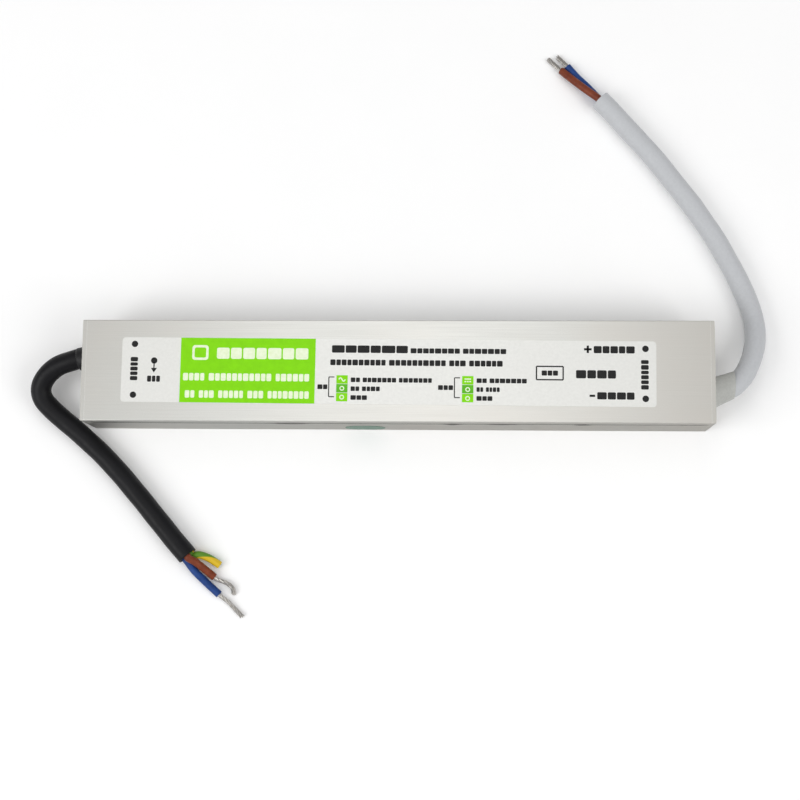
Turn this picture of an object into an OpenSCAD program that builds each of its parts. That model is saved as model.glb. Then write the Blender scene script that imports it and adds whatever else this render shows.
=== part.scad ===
// Slim potted LED driver: aluminium channel, cover and end plates, the circuit inside, two cables.
// Millimetres. +X runs from the input end to the output end, +Z is up, z = 0 is the underside.

/* [Housing] */
// Overall length, end plates included
housing_l = 185; // [180:1:240]
// Overall width
housing_w = 30; // [27:0.5:40]
// Overall height
housing_h = 20; // [18:0.1:28]
// Thickness of the channel's side walls
wall_t = 1.5; // [1.2:0.1:1.7]
// Thickness of the channel's floor
floor_t = 1.8; // [1.4:0.1:2]
// Thickness of the cover
cover_t = 1.8; // [1.4:0.1:2]
// Thickness of one end plate
plate_t = 1.2; // [1:0.1:2]
// Height of the cover's sides, from the top face down to the seam
cover_skirt = 4.6; // [3.5:0.1:5]
// Radius of the long outer edges
edge_r = 0.3; // [0.2:0.1:1.2]
// Chamfer around an end plate's outer face
plate_chamfer = 0.25; // [0.1:0.05:0.4]
// Open height of the seam between channel and cover
seam_gap = 0.4; // [0.2:0.05:0.6]
// Depth of the seam
seam_depth = 0.8; // [0.4:0.1:1]
// Chamfer on each side of the seam
seam_chamfer = 0.3; // [0.05:0.05:0.4]
// Side play between the cover's screw ports and the channel walls
cover_play = 0.15; // [0.05:0.05:0.3]

/* [End plate screws] */
// Thread diameter
screw_d = 2.5; // [2:0.1:2.6]
// Diameter of the countersunk head
head_d = 4.3; // [4:0.1:4.5]
// Overall length of a screw
screw_l = 8; // [6:0.5:12]
// Play of a screw in its hole, on the diameter
screw_play = 0.1; // [0.05:0.05:0.2]
// Wall of a screw port around its hole
port_wall = 0.75; // [0.6:0.05:0.85]
// Width of the slot along a screw port
port_slot = 1; // [0.6:0.1:1.4]

/* [Cable exits] */
// Distance of a cable hole's middle from the nearer side wall
exit_side = 8.5; // [8.3:0.1:10.5]
// Diameter of the cable hole in an end plate
cable_hole_d = 8; // [7.6:0.1:8.6]
// Diameter of the input cable
input_cable_d = 6.2; // [5:0.1:6.4]
// Diameter of the output cable
output_cable_d = 6.2; // [5:0.1:6.4]
// Play of a cable in its grommet, on the radius
cable_play = 0.1; // [0.05:0.05:0.2]
// Play of a grommet in the plate hole, on the radius
grommet_play = 0.05; // [0.02:0.01:0.1]
// Diameter of the inner flange of a grommet
flange_d = 10; // [9.4:0.1:10.4]
// Thickness of the inner flange of a grommet
flange_t = 1.2; // [0.8:0.1:2]
// Diameter of the input grommet's collar where it meets the plate
input_collar_d = 8.8; // [8.7:0.1:10]
// Diameter of the input grommet's collar at its mouth
input_collar_tip_d = 7; // [6.9:0.1:8]
// How far the input grommet's collar stands out
input_collar_h = 3; // [1.5:0.1:3.5]
// Diameter of the output bush where it meets the plate
output_bush_d = 9.4; // [8.8:0.1:10]
// Diameter of the output bush at its mouth
output_bush_tip_d = 7; // [6.9:0.1:8]
// How far the output bush stands out
output_bush_l = 5; // [3:0.5:7]
// Lean of the output bush towards the cable's bend, in degrees
output_bush_lean = 16; // [0:1:20]
// Length of cable sheath held inside the housing, from the plate's inner face
sheath_inside = 5; // [3:0.5:6]

/* [Cable cores] */
// Diameter of one insulated core
core_d = 2.3; // [1.8:0.1:2.3]
// Diameter of a tinned conductor
tip_d = 1.3; // [0.8:0.1:1.6]

/* [Label and sticker] */
// Length of the label film
label_l = 156; // [100:1:160]
// Width of the label film
label_w = 19.2; // [12:0.2:24]
// Thickness of the label film
label_t = 0.12; // [0.05:0.01:0.3]
// Corner radius of the label film
label_r = 1; // [0.2:0.1:3]
// Place of the label's middle along the housing
label_x = -2.5; // [-8:0.5:8]
// Place of the label's middle across the housing
label_y = -0.3; // [-2:0.1:2]
// Skew of the label, in degrees
label_skew = -0.35; // [-1:0.05:1]
// Length of the oval inspection sticker
sticker_l = 12; // [6:0.5:16]
// Height of the oval inspection sticker
sticker_h = 8.4; // [4:0.2:10]
// Thickness of the inspection sticker
sticker_t = 0.1; // [0.05:0.01:0.2]
// Place of the sticker's middle along the housing
sticker_x = -9.5; // [-40:0.5:40]
// Space between the sticker and the housing's underside
sticker_low = 1.4; // [1.2:0.1:2]

/* [Circuit board] */
// Thickness of the board
board_t = 1.6; // [1:0.1:1.8]
// Space between each end plate and the board
board_end_gap = 10; // [9:0.5:10.5]
// Play of the board in its grooves
board_play = 0.15; // [0.05:0.05:0.25]
// Reach of the rib that holds the board down
rib_reach = 1; // [0.6:0.1:1.4]
// Height of the rib that holds the board down
rib_h = 0.8; // [0.5:0.1:1.2]
// Thickness of the insulating sheet on the floor
sheet_t = 0.25; // [0.1:0.05:0.5]
// Length of a soldered pin below the board
pin_tail = 1; // [0.5:0.1:1.5]
// Play of a pin in its board hole, on the diameter
pin_play = 0.2; // [0.1:0.05:0.3]
// Space between a component and the board
seat_gap = 0.2; // [0.1:0.05:0.3]
// Space between a component and the potting
potting_gap = 0.15; // [0.05:0.05:0.2]

/* [Input components] */
// Diameter of the fuse
fuse_d = 3.6; // [2.6:0.1:4]
// Length of the fuse
fuse_l = 9; // [6:0.5:11]
// Diameter of the surge varistor
varistor_d = 7.4; // [5:0.1:8]
// Thickness of the surge varistor
varistor_t = 3.8; // [2.6:0.1:4.2]
// Thickness of the X capacitor
x_cap_t = 6; // [5:0.1:6.5]
// Width of the X capacitor
x_cap_w = 13; // [11:0.5:16]
// Space between the X capacitor and the cover
x_cap_clear = 1.1; // [0.5:0.1:3]
// Outer diameter of the line choke's ring
choke_od = 11; // [10:0.1:11.4]
// Hole of the line choke's ring
choke_id = 5.6; // [5.4:0.1:6]
// Height of the line choke's ring
choke_h = 4.6; // [3.5:0.1:5.5]
// Diameter of the line choke's wire
choke_wire_d = 0.7; // [0.5:0.05:0.75]
// Diameter of a bulk capacitor
bulk_d = 8; // [6.5:0.1:8.2]
// Length of a bulk capacitor
bulk_l = 18; // [15:0.5:20]

/* [Transformer] */
// Length of the core along the housing
core_l = 18; // [16:0.1:19]
// Space between the core and the cover's screw ports
core_clear = 0.75; // [0.3:0.05:1.2]
// Space between the core and the edge of the bobbin's flanges
winding_room = 2.3; // [2:0.1:2.6]
// Thickness of the core's back
core_back = 2.8; // [2.4:0.1:3.2]
// Width of each winding window between the core's legs
core_window = 3.1; // [2.9:0.1:3.6]
// Width of each outer leg
core_side = 2.4; // [2:0.1:2.6]
// Air gap between the two core halves
core_gap = 0.1; // [0.05:0.05:0.3]
// Space between the bobbin and the cover
bobbin_clear = 0.9; // [0.5:0.1:1.6]
// Wall of the bobbin
bobbin_wall = 0.7; // [0.5:0.05:0.8]
// Play between bobbin, core and winding
bobbin_play = 0.1; // [0.05:0.05:0.2]

/* [Output components] */
// Diameter of an output capacitor
output_cap_d = 8; // [6:0.1:8.2]
// Length of an output capacitor
output_cap_l = 15; // [12:0.5:17]
// Diameter of the output choke
drum_d = 8; // [7:0.1:9]
// Space between the output choke and the cover
drum_clear = 2.1; // [0.5:0.1:4]
// Width of a power package
power_w = 10.2; // [9:0.1:10.6]
// Length of a power package
power_l = 15; // [13:0.5:15.5]
// Height of a power package
power_h = 4.5; // [3.5:0.1:5]

/* [Hidden] */
$fn = 48;
eps = 0.01;

// Housing levels and widths
inner_w = housing_w - 2 * wall_t;
inner_l = housing_l - 2 * plate_t;
cover_under = housing_h - cover_t;
seam_z = housing_h - cover_skirt;
port_hole_d = screw_d + screw_play;
port_size = port_hole_d + 2 * port_wall;
lower_port_y = inner_w / 2 - port_size / 2;
lower_port_z = floor_t + port_size / 2;
upper_port_y = lower_port_y - cover_play;
upper_port_z = cover_under - port_size / 2;
port_places = [
    for (side = [-1, 1]) [side * lower_port_y, lower_port_z],
    for (side = [-1, 1]) [side * upper_port_y, upper_port_z],
];
head_h = (head_d - screw_d) / 2;
head_sink = 0.05;
recess_l = 2.2;
recess_w = 0.5;
recess_depth = 0.55;
exit_z = housing_h / 2;
exit_offset = inner_w / 2 - exit_side;

// Board levels and the row of component zones along it
board_bottom = floor_t + port_size;
board_top = board_bottom + board_t;
board_w = inner_w - 2 * board_play;
board_l = inner_l - 2 * board_end_gap;
cover_room = cover_under - board_top - seat_gap;
x_cap_h = cover_room - x_cap_clear;
bobbin_h = cover_room - bobbin_clear;
drum_h = cover_room - drum_clear;
core_t = bobbin_h - 2 * winding_room;
core_w = inner_w - 2 * (port_size + cover_play) - 2 * core_clear;
core_leg = core_w - 2 * core_side - 2 * core_window;
zone_margin = 1;
pad_zone = 3;
small_zone = 6.4;
coupler_zone = 7;
zone_spare = 1;
resistor_pitch = 2.8;
lead_reach = 1.2;
wire_d = 0.7;
pin_extra = 0.1;
pin_grip = 1;
rail_reach = 1;
zones = [
    pad_zone, fuse_d, varistor_t, x_cap_t, choke_od + 2 * choke_wire_d + zone_spare, small_zone,
    bulk_l + lead_reach + zone_spare, power_w, 3 * resistor_pitch, core_l + 2 * rail_reach, coupler_zone,
    power_w, output_cap_l + lead_reach + zone_spare, drum_d, pad_zone,
];
function total(list, count) = count <= 0 ? 0 : list[count - 1] + total(list, count - 1);
zone_gap = (board_l - 2 * zone_margin - total(zones, len(zones))) / (len(zones) - 1);
function zone_x(i) = -board_l / 2 + zone_margin + total(zones, i) + i * zone_gap + zones[i] / 2;
input_pad_x = zone_x(0);
fuse_x = zone_x(1);
varistor_x = zone_x(2);
x_cap_x = zone_x(3);
choke_x = zone_x(4);
bridge_x = zone_x(5);
bulk_x = zone_x(6);
transistor_x = zone_x(7);
resistor_x = zone_x(8);
transformer_x = zone_x(9);
coupler_x = zone_x(10);
rectifier_x = zone_x(11);
output_cap_x = zone_x(12);
drum_x = zone_x(13);
output_pad_x = zone_x(14);

// Small component sizes
disc_lift = 1;
disc_edge = 0.9;
disc_pin_y = 2.5;
x_cap_pin_y = 5;
x_cap_pin_d = 0.8;
x_cap_edge = 0.6;
bridge_l = 6.2;
bridge_w = 7;
bridge_h = 3.3;
chip_l = 4.9;
chip_w = 3.9;
chip_h = 1.5;
chip_pitch = 1.27;
coupler_l = 4.6;
coupler_w = 6.4;
coupler_h = 3.4;
y_cap_d = 7;
y_cap_t = 4;
dip_pin_d = 0.6;
dip_reach = 0.6;
dip_pitch = 2.54;
// Rows along the board's sides: the near row's pins clear the channel's ports, the far row the cover's
pin_side = 0.7;
row_side = 8.5;
function near_row_y(w) = dip_reach + w / 2 + pin_side + port_size - inner_w / 2;
bridge_y = near_row_y(bridge_w);
coupler_y = near_row_y(coupler_w);
chip_y = inner_w / 2 - row_side;
y_cap_y = inner_w / 2 - row_side;
cap_lead_y = 1.75;
cap_lead_d = 0.6;
cap_side_gap = 0.4;
power_pin_side = 1.7;
power_y = power_pin_side + port_size - inner_w / 2 + lead_reach + power_l / 2;
power_lead_d = 0.9;
power_pitch = 2.54;
resistor_l = 6.3;
resistor_d = 2.3;
resistor_pin_y = 4.8;
drum_flange_t = 1.2;
drum_core_d = 3.6;
drum_inset = 0.4;
drum_pin_y = 2.4;
choke_turns = 6.5;
choke_turn_angle = 20;
choke_steps = 12;
choke_clear = 0.12;
pad_pitch = 3;
pad_y = exit_offset - 1;

// Bobbin and winding levels
transformer_z = board_top + seat_gap + bobbin_h / 2;
window_l = core_l - 2 * core_back;
window_w = core_w - 2 * core_side;
tube_y = core_leg + 2 * bobbin_play + 2 * bobbin_wall;
tube_z = core_t + 2 * bobbin_play + 2 * bobbin_wall;
bobbin_l = window_l - 2 * bobbin_play;
bobbin_w = window_w - 2 * bobbin_play;
winding_l = bobbin_l - 2 * bobbin_wall - 2 * bobbin_play;
winding_inset = 0.3;
winding_r = 1.6;
rail_inset = 1.5;
rail_w = core_w - 2 * rail_inset;
rail_h = (bobbin_h - core_t) / 2 - bobbin_play;
rail_pin_margin = 1.6;
rail_pin_x = core_l / 2;
rail_pin_pitch = (rail_w - 2 * rail_pin_margin) / 3;

// Choke levels
choke_z = board_top + seat_gap + choke_wire_d + choke_clear + choke_h / 2;
choke_mid_r = (choke_od + choke_id) / 4;
choke_loop_r = (choke_od - choke_id) / 4 + choke_clear + choke_wire_d / 2;
choke_loop_z = choke_h / 2 + choke_clear + choke_wire_d / 2;
choke_start = -choke_turns * choke_turn_angle / 2;
choke_edge = 0.7;

// Every hole of the board as [x, y, pin diameter, pin height above the board]
fuse_pins = [
    for (side = [-1, 1])
        [fuse_x, side * (fuse_l / 2 + lead_reach), wire_d + pin_extra, seat_gap + fuse_d / 2],
];
varistor_pins = disc_pins(varistor_x, 0, varistor_d);
y_cap_pins = disc_pins(coupler_x, y_cap_y, y_cap_d);
x_cap_pins = [for (side = [-1, 1]) [x_cap_x, side * x_cap_pin_y, x_cap_pin_d, seat_gap + pin_grip]];
bridge_pins = dip_pins(bridge_x, bridge_y, bridge_w, bridge_h);
coupler_pins = dip_pins(coupler_x, coupler_y, coupler_w, coupler_h);
bulk_pins = can_pins(bulk_x, bulk_l, bulk_d);
output_cap_pins = can_pins(output_cap_x, output_cap_l, output_cap_d);
transistor_pins = power_pins(transistor_x);
rectifier_pins = power_pins(rectifier_x);
resistor_pins = [
    for (place = [-1, 0, 1], side = [-1, 1])
        [resistor_x + place * resistor_pitch, side * resistor_pin_y, wire_d, seat_gap + resistor_d / 2],
];
bobbin_pins = [
    for (end = [-1, 1], place = [-1.5, -0.5, 0.5, 1.5])
        [transformer_x + end * rail_pin_x, place * rail_pin_pitch, wire_d, seat_gap + pin_grip],
];
drum_pins = [for (side = [-1, 1]) [drum_x, side * drum_pin_y, wire_d, seat_gap + drum_flange_t / 2]];
input_pads = [for (place = [-1, 0, 1]) [input_pad_x, pad_y + place * pad_pitch, core_d, 0]];
output_pads = [for (place = [-0.5, 0.5]) [output_pad_x, -pad_y + place * pad_pitch, core_d, 0]];
choke_pins = [
    for (half = [0, 180], last = [false, true])
        concat(choke_end(half, last), [choke_wire_d, 0]),
];
component_pins = concat(
    fuse_pins, varistor_pins, y_cap_pins, x_cap_pins, bridge_pins, coupler_pins, bulk_pins,
    output_cap_pins, transistor_pins, rectifier_pins, resistor_pins, bobbin_pins, drum_pins
);
board_holes = concat(component_pins, input_pads, output_pads, choke_pins);

function disc_pins(x, y, d) = [
    for (side = [-1, 1])
        let (rim = d / 2 - sqrt(pow(d / 2, 2) - pow(disc_pin_y, 2)))
        [x, y + side * disc_pin_y, wire_d, disc_lift + rim + disc_edge],
];
function dip_pins(x, y, w, h) = [
    for (end = [-0.5, 0.5], side = [-1, 1])
        [x + end * dip_pitch, y + side * (w / 2 + dip_reach), dip_pin_d, seat_gap + h / 2],
];
function can_side(d) = (d + cap_side_gap) / 2;
function can_base_x(x, l) = x - (l - lead_reach) / 2;
function can_pins(x, l, d) = [
    for (can = [-1, 1], lead = [-1, 1])
        [can_base_x(x, l) - lead_reach, can * can_side(d) + lead * cap_lead_y,
         cap_lead_d + pin_extra, seat_gap + d / 2],
];
function power_pin_y() = power_y - power_l / 2 - lead_reach;
function power_pins(x) = [
    for (place = [-1, 0, 1])
        [x + place * power_pitch, power_pin_y(), power_lead_d, seat_gap + power_h / 2],
];
function polar(r, angle) = [r * cos(angle), r * sin(angle)];
function choke_end(half, last) = let (
    angle = half + choke_start + (last ? choke_turns * choke_turn_angle : 0),
    r = choke_mid_r + (last ? -1 : 1) * choke_loop_r
) [choke_x, 0] + polar(r, angle);

// Cable routes: [along X, along Y, height above rest] from the point where the cable leaves its plate
input_route = [
    [-6, -0.8, 6.6], [-10, -2.2, 5.9], [-13.5, -4.8, 4.9], [-15.5, -8.1, 3.7], [-15.2, -11.5, 2.6],
    [-12.8, -14.6, 1.6], [-9, -17.9, 0.8], [-5, -21.2, 0.3], [0, -25.5, 0], [5, -30.2, 0],
    [10, -35.5, 0], [15, -41.2, 0], [20, -47.1, 0], [25, -53, 0], [30, -58.7, 0],
];
output_route = [
    [8.2, 3.6, 6.2], [10.6, 6.7, 5.2], [12.4, 10.3, 4], [13.7, 14.2, 2.7], [14.4, 18.7, 1.4],
    [14.1, 23.5, 0.5], [12.8, 28.5, 0.1], [10.8, 33.5, 0], [8.5, 38.5, 0], [5.9, 43.5, 0],
    [3.2, 48.5, 0], [0, 53.5, 0], [-3.3, 58.5, 0], [-7, 63.5, 0], [-11, 68.8, 0], [-15, 74, 0],
    [-19.3, 79, 0], [-23.7, 84, 0], [-28, 89, 0], [-31.2, 92.3, 0],
];
exit_straight = input_collar_h;
// Core routes: the same, from the middle of the cable's cut end, with the height above the core's rest
earth_route = [[3.4, 0.4, 1.6], [6.4, -0.6, 0.7], [9.5, -2.6, 0]];
live_route = [[2.6, -1.8, 2.7], [5.3, -4, 1.3], [8, -6.2, 0.4]];
neutral_route = [[2.2, -4.5, 1.2], [5.8, -8, 0.4], [9.5, -11.3, 0]];
positive_route = [[-4.8, 3.6, 2.4], [-8.5, 6.9, 1.5], [-11.7, 10.1, 0.3]];
negative_route = [[-3.7, 4.6, 0.6], [-7.1, 8.2, 0.1], [-9.8, 11.5, 0]];
// Tip routes: the same again, from the middle of the cable's cut end
live_tip_route = [[11.6, -7.9, 0.6], [13.4, -9.3, 0.3], [13.9, -11.4, 0]];
neutral_tip_route = [[12.8, -14, 0.2], [16.6, -17.9, 0]];
positive_tip_route = [[-15.8, 14.2, 0]];
negative_tip_route = [[-13, 14.9, 0]];
start_step = 1;
core_spread = 1.25;
core_drop = 0.8;
pair_spread = 0.35;
pair_rise = 1.13;

input_exit = [-housing_l / 2, exit_offset, exit_z];
output_exit = [housing_l / 2, -exit_offset, exit_z];
lean_step = output_bush_l + 0.6;
input_inner_end = input_exit + [plate_t + sheath_inside, 0, 0];
output_inner_end = output_exit - [plate_t + sheath_inside, 0, 0];
input_path = concat(
    [input_inner_end, input_exit, input_exit - [exit_straight, 0, 0]],
    laid(input_route, input_exit, input_cable_d)
);
output_path = concat(
    [output_inner_end, output_exit,
     output_exit + lean_step * [cos(output_bush_lean), sin(output_bush_lean), 0]],
    laid(output_route, output_exit, output_cable_d)
);

// Path helpers: unit vectors, laid points, rings and the direction at a path's end
function unit(v) = v / norm(v);
function laid(route, from, d) = [
    for (p = route) [from.x + p.x, from.y + p.y, d / 2 + eps + p.z],
];
function path_end(path) = path[len(path) - 1];
function end_direction(path) = unit(path_end(path) - path[len(path) - 2]);
function direction(path, i) = let (
    last = len(path) - 1,
    before = i > 0 ? unit(path[i] - path[i - 1]) : [0, 0, 0],
    after = i < last ? unit(path[i + 1] - path[i]) : [0, 0, 0]
) unit(before + after);
function ring(path, i, d, sides, up) = let (
    along = direction(path, i),
    across = unit(cross(up, along)),
    above = cross(along, across)
) [
    for (k = [0:sides - 1])
        path[i] + d / 2 * (cos(360 * k / sides) * across + sin(360 * k / sides) * above),
];
function core_path(cable, across, above, route) = let (
    along = end_direction(cable),
    side = unit(cross([0, 0, 1], along)),
    start = path_end(cable) + across * side + [0, 0, above]
) concat([start, start + start_step * along], laid(route, path_end(cable), core_d));
function tip_path(core, cable, route) = let (start = path_end(core))
    concat([start, start + start_step * end_direction(core)], laid(route, path_end(cable), tip_d));
function bezier(a, b, c, d, t) =
    pow(1 - t, 3) * a + 3 * t * pow(1 - t, 2) * b + 3 * t * t * (1 - t) * c + pow(t, 3) * d;
function inner_lead(start, inward, pad) = let (
    foot = [pad.x, pad.y, board_bottom - pin_tail],
    knee = [pad.x, pad.y, board_top + 0.5],
    bend = start + [inward * start_step / 2, 0, 0]
) concat(
    [start],
    [for (step = [0:6]) bezier(bend, bend + [inward * 2, 0, 0], knee + [0, 0, 2], knee, step / 6)],
    [foot]
);
function choke_wire(half) = concat(
    [
        concat(choke_end(half, false), [board_bottom - pin_tail]),
        concat(choke_end(half, false), [board_top + 0.3]),
    ],
    [
        for (step = [0:choke_turns * choke_steps])
            let (
                turn = step / choke_steps,
                angle = half + choke_start + turn * choke_turn_angle,
                r = choke_mid_r + choke_loop_r * squared(cos(360 * turn))
            )
            concat([choke_x, 0] + polar(r, angle), [choke_z + choke_loop_z * squared(sin(360 * turn))]),
    ],
    [concat(choke_end(half, true), [board_bottom - pin_tail])]
);
function squared(v) = sign(v) * pow(abs(v), 0.6);

earth_path = core_path(input_path, core_spread, -core_drop, earth_route);
live_path = core_path(input_path, 0, 2 * core_drop, live_route);
neutral_path = core_path(input_path, -core_spread, -core_drop, neutral_route);
positive_path = core_path(output_path, pair_spread, pair_rise, positive_route);
negative_path = core_path(output_path, -pair_spread, -pair_rise, negative_route);

// Drawing helpers
module rounded_rect(w, h, r) {
    square([w - 2 * r, h], center = true);
    square([w, h - 2 * r], center = true);
    for (x = [-1, 1], y = [-1, 1])
        translate([x * (w / 2 - r), y * (h / 2 - r)]) circle(r);
}

module along_x(l) {
    rotate([90, 0, 90]) linear_extrude(l, center = true) children();
}

// Puts the plane of an end plate's outer face at one end, looking outwards
module at_end(side) {
    translate([side * housing_l / 2, 0, 0]) rotate([90, 0, 90 * side]) children();
}

module at_exit(side) {
    at_end(side) translate([-exit_offset, exit_z, 0]) children();
}

module tube(path, d, sides, up = [0, 0, 1]) {
    count = len(path);
    points = [for (i = [0:count - 1]) each ring(path, i, d, sides, up)];
    skin = [
        for (i = [0:count - 2], k = [0:sides - 1])
            let (a = i * sides + k, b = i * sides + (k + 1) % sides)
            each [[a, a + sides, b], [b, a + sides, b + sides]],
    ];
    start_cap = [for (k = [0:sides - 1]) k];
    end_cap = [for (k = [sides - 1:-1:0]) (count - 1) * sides + k];
    polyhedron(points, concat([start_cap], skin, [end_cap]));
}

module pins(list) {
    for (p = list)
        translate([p.x, p.y, board_bottom - pin_tail]) cylinder(d = p[2], h = board_t + pin_tail + p[3]);
}

// Housing profile: the outline, the seam and the screw ports
module outline() {
    translate([0, housing_h / 2]) rounded_rect(housing_w, housing_h, edge_r);
}

module seam_grooves() {
    lip = seam_gap / 2 + seam_chamfer;
    for (side = [0, 1])
        translate([(2 * side - 1) * housing_w / 2, seam_z]) rotate(180 * side) polygon([
            [seam_depth, -seam_gap / 2], [seam_depth, seam_gap / 2], [seam_chamfer, seam_gap / 2],
            [0, lip], [-1, lip], [-1, -lip], [0, -lip], [seam_chamfer, -seam_gap / 2],
        ]);
}

module port_block(y, z) {
    translate([y, z]) square(port_size, center = true);
}

module port_cut(y, z) {
    translate([y, z]) circle(d = port_hole_d);
    inward = y > 0 ? -port_size : 0;
    translate([y + inward, z - port_slot / 2]) square([port_size, port_slot]);
}

module channel_profile() {
    difference() {
        union() {
            difference() {
                outline();
                translate([-inner_w / 2, floor_t]) square([inner_w, housing_h]);
            }
            for (side = [-1, 1]) {
                port_block(side * lower_port_y, lower_port_z);
                translate([side * (inner_w / 2 - rib_reach / 2), board_top + board_play + rib_h / 2])
                    square([rib_reach, rib_h], center = true);
            }
        }
        translate([-housing_w, seam_z]) square([2 * housing_w, housing_h]);
        seam_grooves();
        for (side = [-1, 1])
            port_cut(side * lower_port_y, lower_port_z);
    }
}

// The cover's ports join its sides above the seam, and below it they fit between the channel walls
module cover_profile() {
    difference() {
        union() {
            difference() {
                intersection() {
                    outline();
                    translate([-housing_w, seam_z]) square([2 * housing_w, cover_skirt]);
                }
                translate([-inner_w / 2, seam_z - 1]) square([inner_w, cover_under - seam_z + 1]);
            }
            for (side = [-1, 1]) {
                port_block(side * upper_port_y, upper_port_z);
                translate([side * (inner_w - port_size) / 2, (seam_z + cover_under) / 2])
                    square([port_size, cover_under - seam_z], center = true);
            }
        }
        seam_grooves();
        for (side = [-1, 1])
            port_cut(side * upper_port_y, upper_port_z);
    }
}

module base_channel() {
    color("#c4c4c0") along_x(inner_l) channel_profile();
}

module top_cover() {
    color("#cfcfcb") along_x(inner_l) cover_profile();
}

module plate_chamfer_cut(turn, l) {
    size = plate_chamfer * sqrt(2);
    rotate(turn) rotate([0, 45, 0]) cube([size, l + 2, size], center = true);
}

module end_plate(side) {
    at_end(side) difference() {
        translate([0, 0, -plate_t]) linear_extrude(plate_t) difference() {
            outline();
            translate([-exit_offset, exit_z]) circle(d = cable_hole_d);
            for (p = port_places)
                translate(p) circle(d = screw_d + screw_play);
        }
        for (p = port_places)
            translate([p.x, p.y, -head_h - head_sink])
                cylinder(d1 = screw_d + screw_play, d2 = head_d + screw_play + 2 * head_sink,
                         h = head_h + head_sink + eps);
        for (side = [-1, 1]) {
            translate([side * housing_w / 2, housing_h / 2, 0]) plate_chamfer_cut(0, housing_h);
            translate([0, housing_h / 2 + side * housing_h / 2, 0]) plate_chamfer_cut(90, housing_w);
        }
    }
}

module input_end_plate() {
    color("#c9c9c5") end_plate(-1);
}

module output_end_plate() {
    color("#c9c9c5") end_plate(1);
}

// Countersunk screw with its head just under z = 0 and a crossed recess
module plate_screw() {
    translate([0, 0, -head_sink]) difference() {
        union() {
            translate([0, 0, -head_h]) cylinder(d1 = screw_d, d2 = head_d, h = head_h);
            translate([0, 0, -screw_l]) cylinder(d = screw_d, h = screw_l - head_h);
        }
        for (turn = [0, 90])
            rotate(turn) translate([0, 0, -recess_depth / 2 + eps])
                cube([recess_l, recess_w, recess_depth], center = true);
    }
}

module plate_screws(side) {
    color("#b8b8b4") at_end(side)
        for (p = port_places)
            translate([p.x, p.y, 0]) plate_screw();
}

module input_plate_screws() {
    plate_screws(-1);
}

module output_plate_screws() {
    plate_screws(1);
}

// Grommets: inner flange, neck in the plate hole, and what stands outside
module grommet_seat() {
    neck_d = cable_hole_d - 2 * grommet_play;
    translate([0, 0, -plate_t]) cylinder(d = neck_d, h = plate_t);
    translate([0, 0, -plate_t - flange_t]) cylinder(d = flange_d, h = flange_t);
}

module grommet_bore(d) {
    translate([0, 0, -plate_t - flange_t - 1])
        cylinder(d = d + 2 * cable_play, h = plate_t + flange_t + 2);
}

module input_grommet() {
    color("#222222") at_exit(-1) difference() {
        union() {
            grommet_seat();
            cylinder(d1 = input_collar_d, d2 = input_collar_tip_d, h = input_collar_h);
        }
        grommet_bore(input_cable_d);
        cylinder(d = input_cable_d + 2 * cable_play, h = input_collar_h + 1);
    }
}

module output_grommet() {
    color("#d8d8d0") at_exit(1) difference() {
        union() {
            grommet_seat();
            intersection() {
                rotate([0, output_bush_lean, 0]) translate([0, 0, -output_bush_l])
                    cylinder(d1 = 2 * output_bush_d - output_bush_tip_d, d2 = output_bush_tip_d,
                             h = 2 * output_bush_l);
                translate([0, 0, output_bush_l])
                    cube([2 * flange_d, 2 * flange_d, 2 * output_bush_l], center = true);
            }
        }
        grommet_bore(output_cable_d);
        rotate([0, output_bush_lean, 0]) translate([0, 0, -1])
            cylinder(d = output_cable_d + 2 * cable_play, h = output_bush_l + 2);
    }
}

module label() {
    color("#d9d9d6") translate([label_x, label_y, housing_h]) rotate(label_skew)
        linear_extrude(label_t) rounded_rect(label_l, label_w, label_r);
}

module inspection_sticker() {
    color("#5f8474") translate([sticker_x, -housing_w / 2, sticker_low + sticker_h / 2]) rotate([90, 0, 0])
        linear_extrude(sticker_t) intersection() {
            rounded_rect(sticker_l, sticker_h, sticker_h / 2 - eps);
            circle(d = sticker_l * 1.02);
        }
}

// Board and sheet
module insulating_sheet() {
    w = inner_w - 2 * port_size - 2 * board_play;
    color("#e8e4d0") translate([0, 0, floor_t + sheet_t / 2])
        cube([inner_l - 2 * board_play, w, sheet_t], center = true);
}

module circuit_board() {
    color("#3f7d4a") difference() {
        translate([0, 0, board_bottom + board_t / 2]) cube([board_l, board_w, board_t], center = true);
        for (p = board_holes)
            translate([p.x, p.y, board_bottom - 1]) cylinder(d = p[2] + pin_play, h = board_t + 2);
    }
}

// Leaded component shapes
module coated_disc(x, y, d, t) {
    translate([x, y, board_top + disc_lift + d / 2]) rotate([0, 90, 0]) rotate_extrude()
        polygon([
            [0, -t / 2], [d / 2 - disc_edge, -t / 2], [d / 2, -t / 2 + disc_edge],
            [d / 2, t / 2 - disc_edge], [d / 2 - disc_edge, t / 2], [0, t / 2],
        ]);
}

module dip_body(x, y, l, w, h) {
    draft = 0.25;
    notch = 1.2;
    dip_lead_in = 0.2;
    dip_lead_t = 0.3;
    translate([x, y, board_top + seat_gap]) difference() {
        along_x(l) polygon([
            [-w / 2 + draft, 0], [w / 2 - draft, 0], [w / 2, h / 2],
            [w / 2 - draft, h], [-w / 2 + draft, h], [-w / 2, h / 2],
        ]);
        translate([l / 2, 0, h - 0.5]) cylinder(d = notch, h = 1);
    }
    for (end = [-0.5, 0.5], side = [-1, 1])
        translate([x + end * dip_pitch, y + side * (w / 2 + dip_reach / 2 - dip_lead_in / 2),
                   board_top + seat_gap + h / 2])
            cube([dip_pin_d, dip_reach + dip_lead_in, dip_lead_t], center = true);
}

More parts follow.
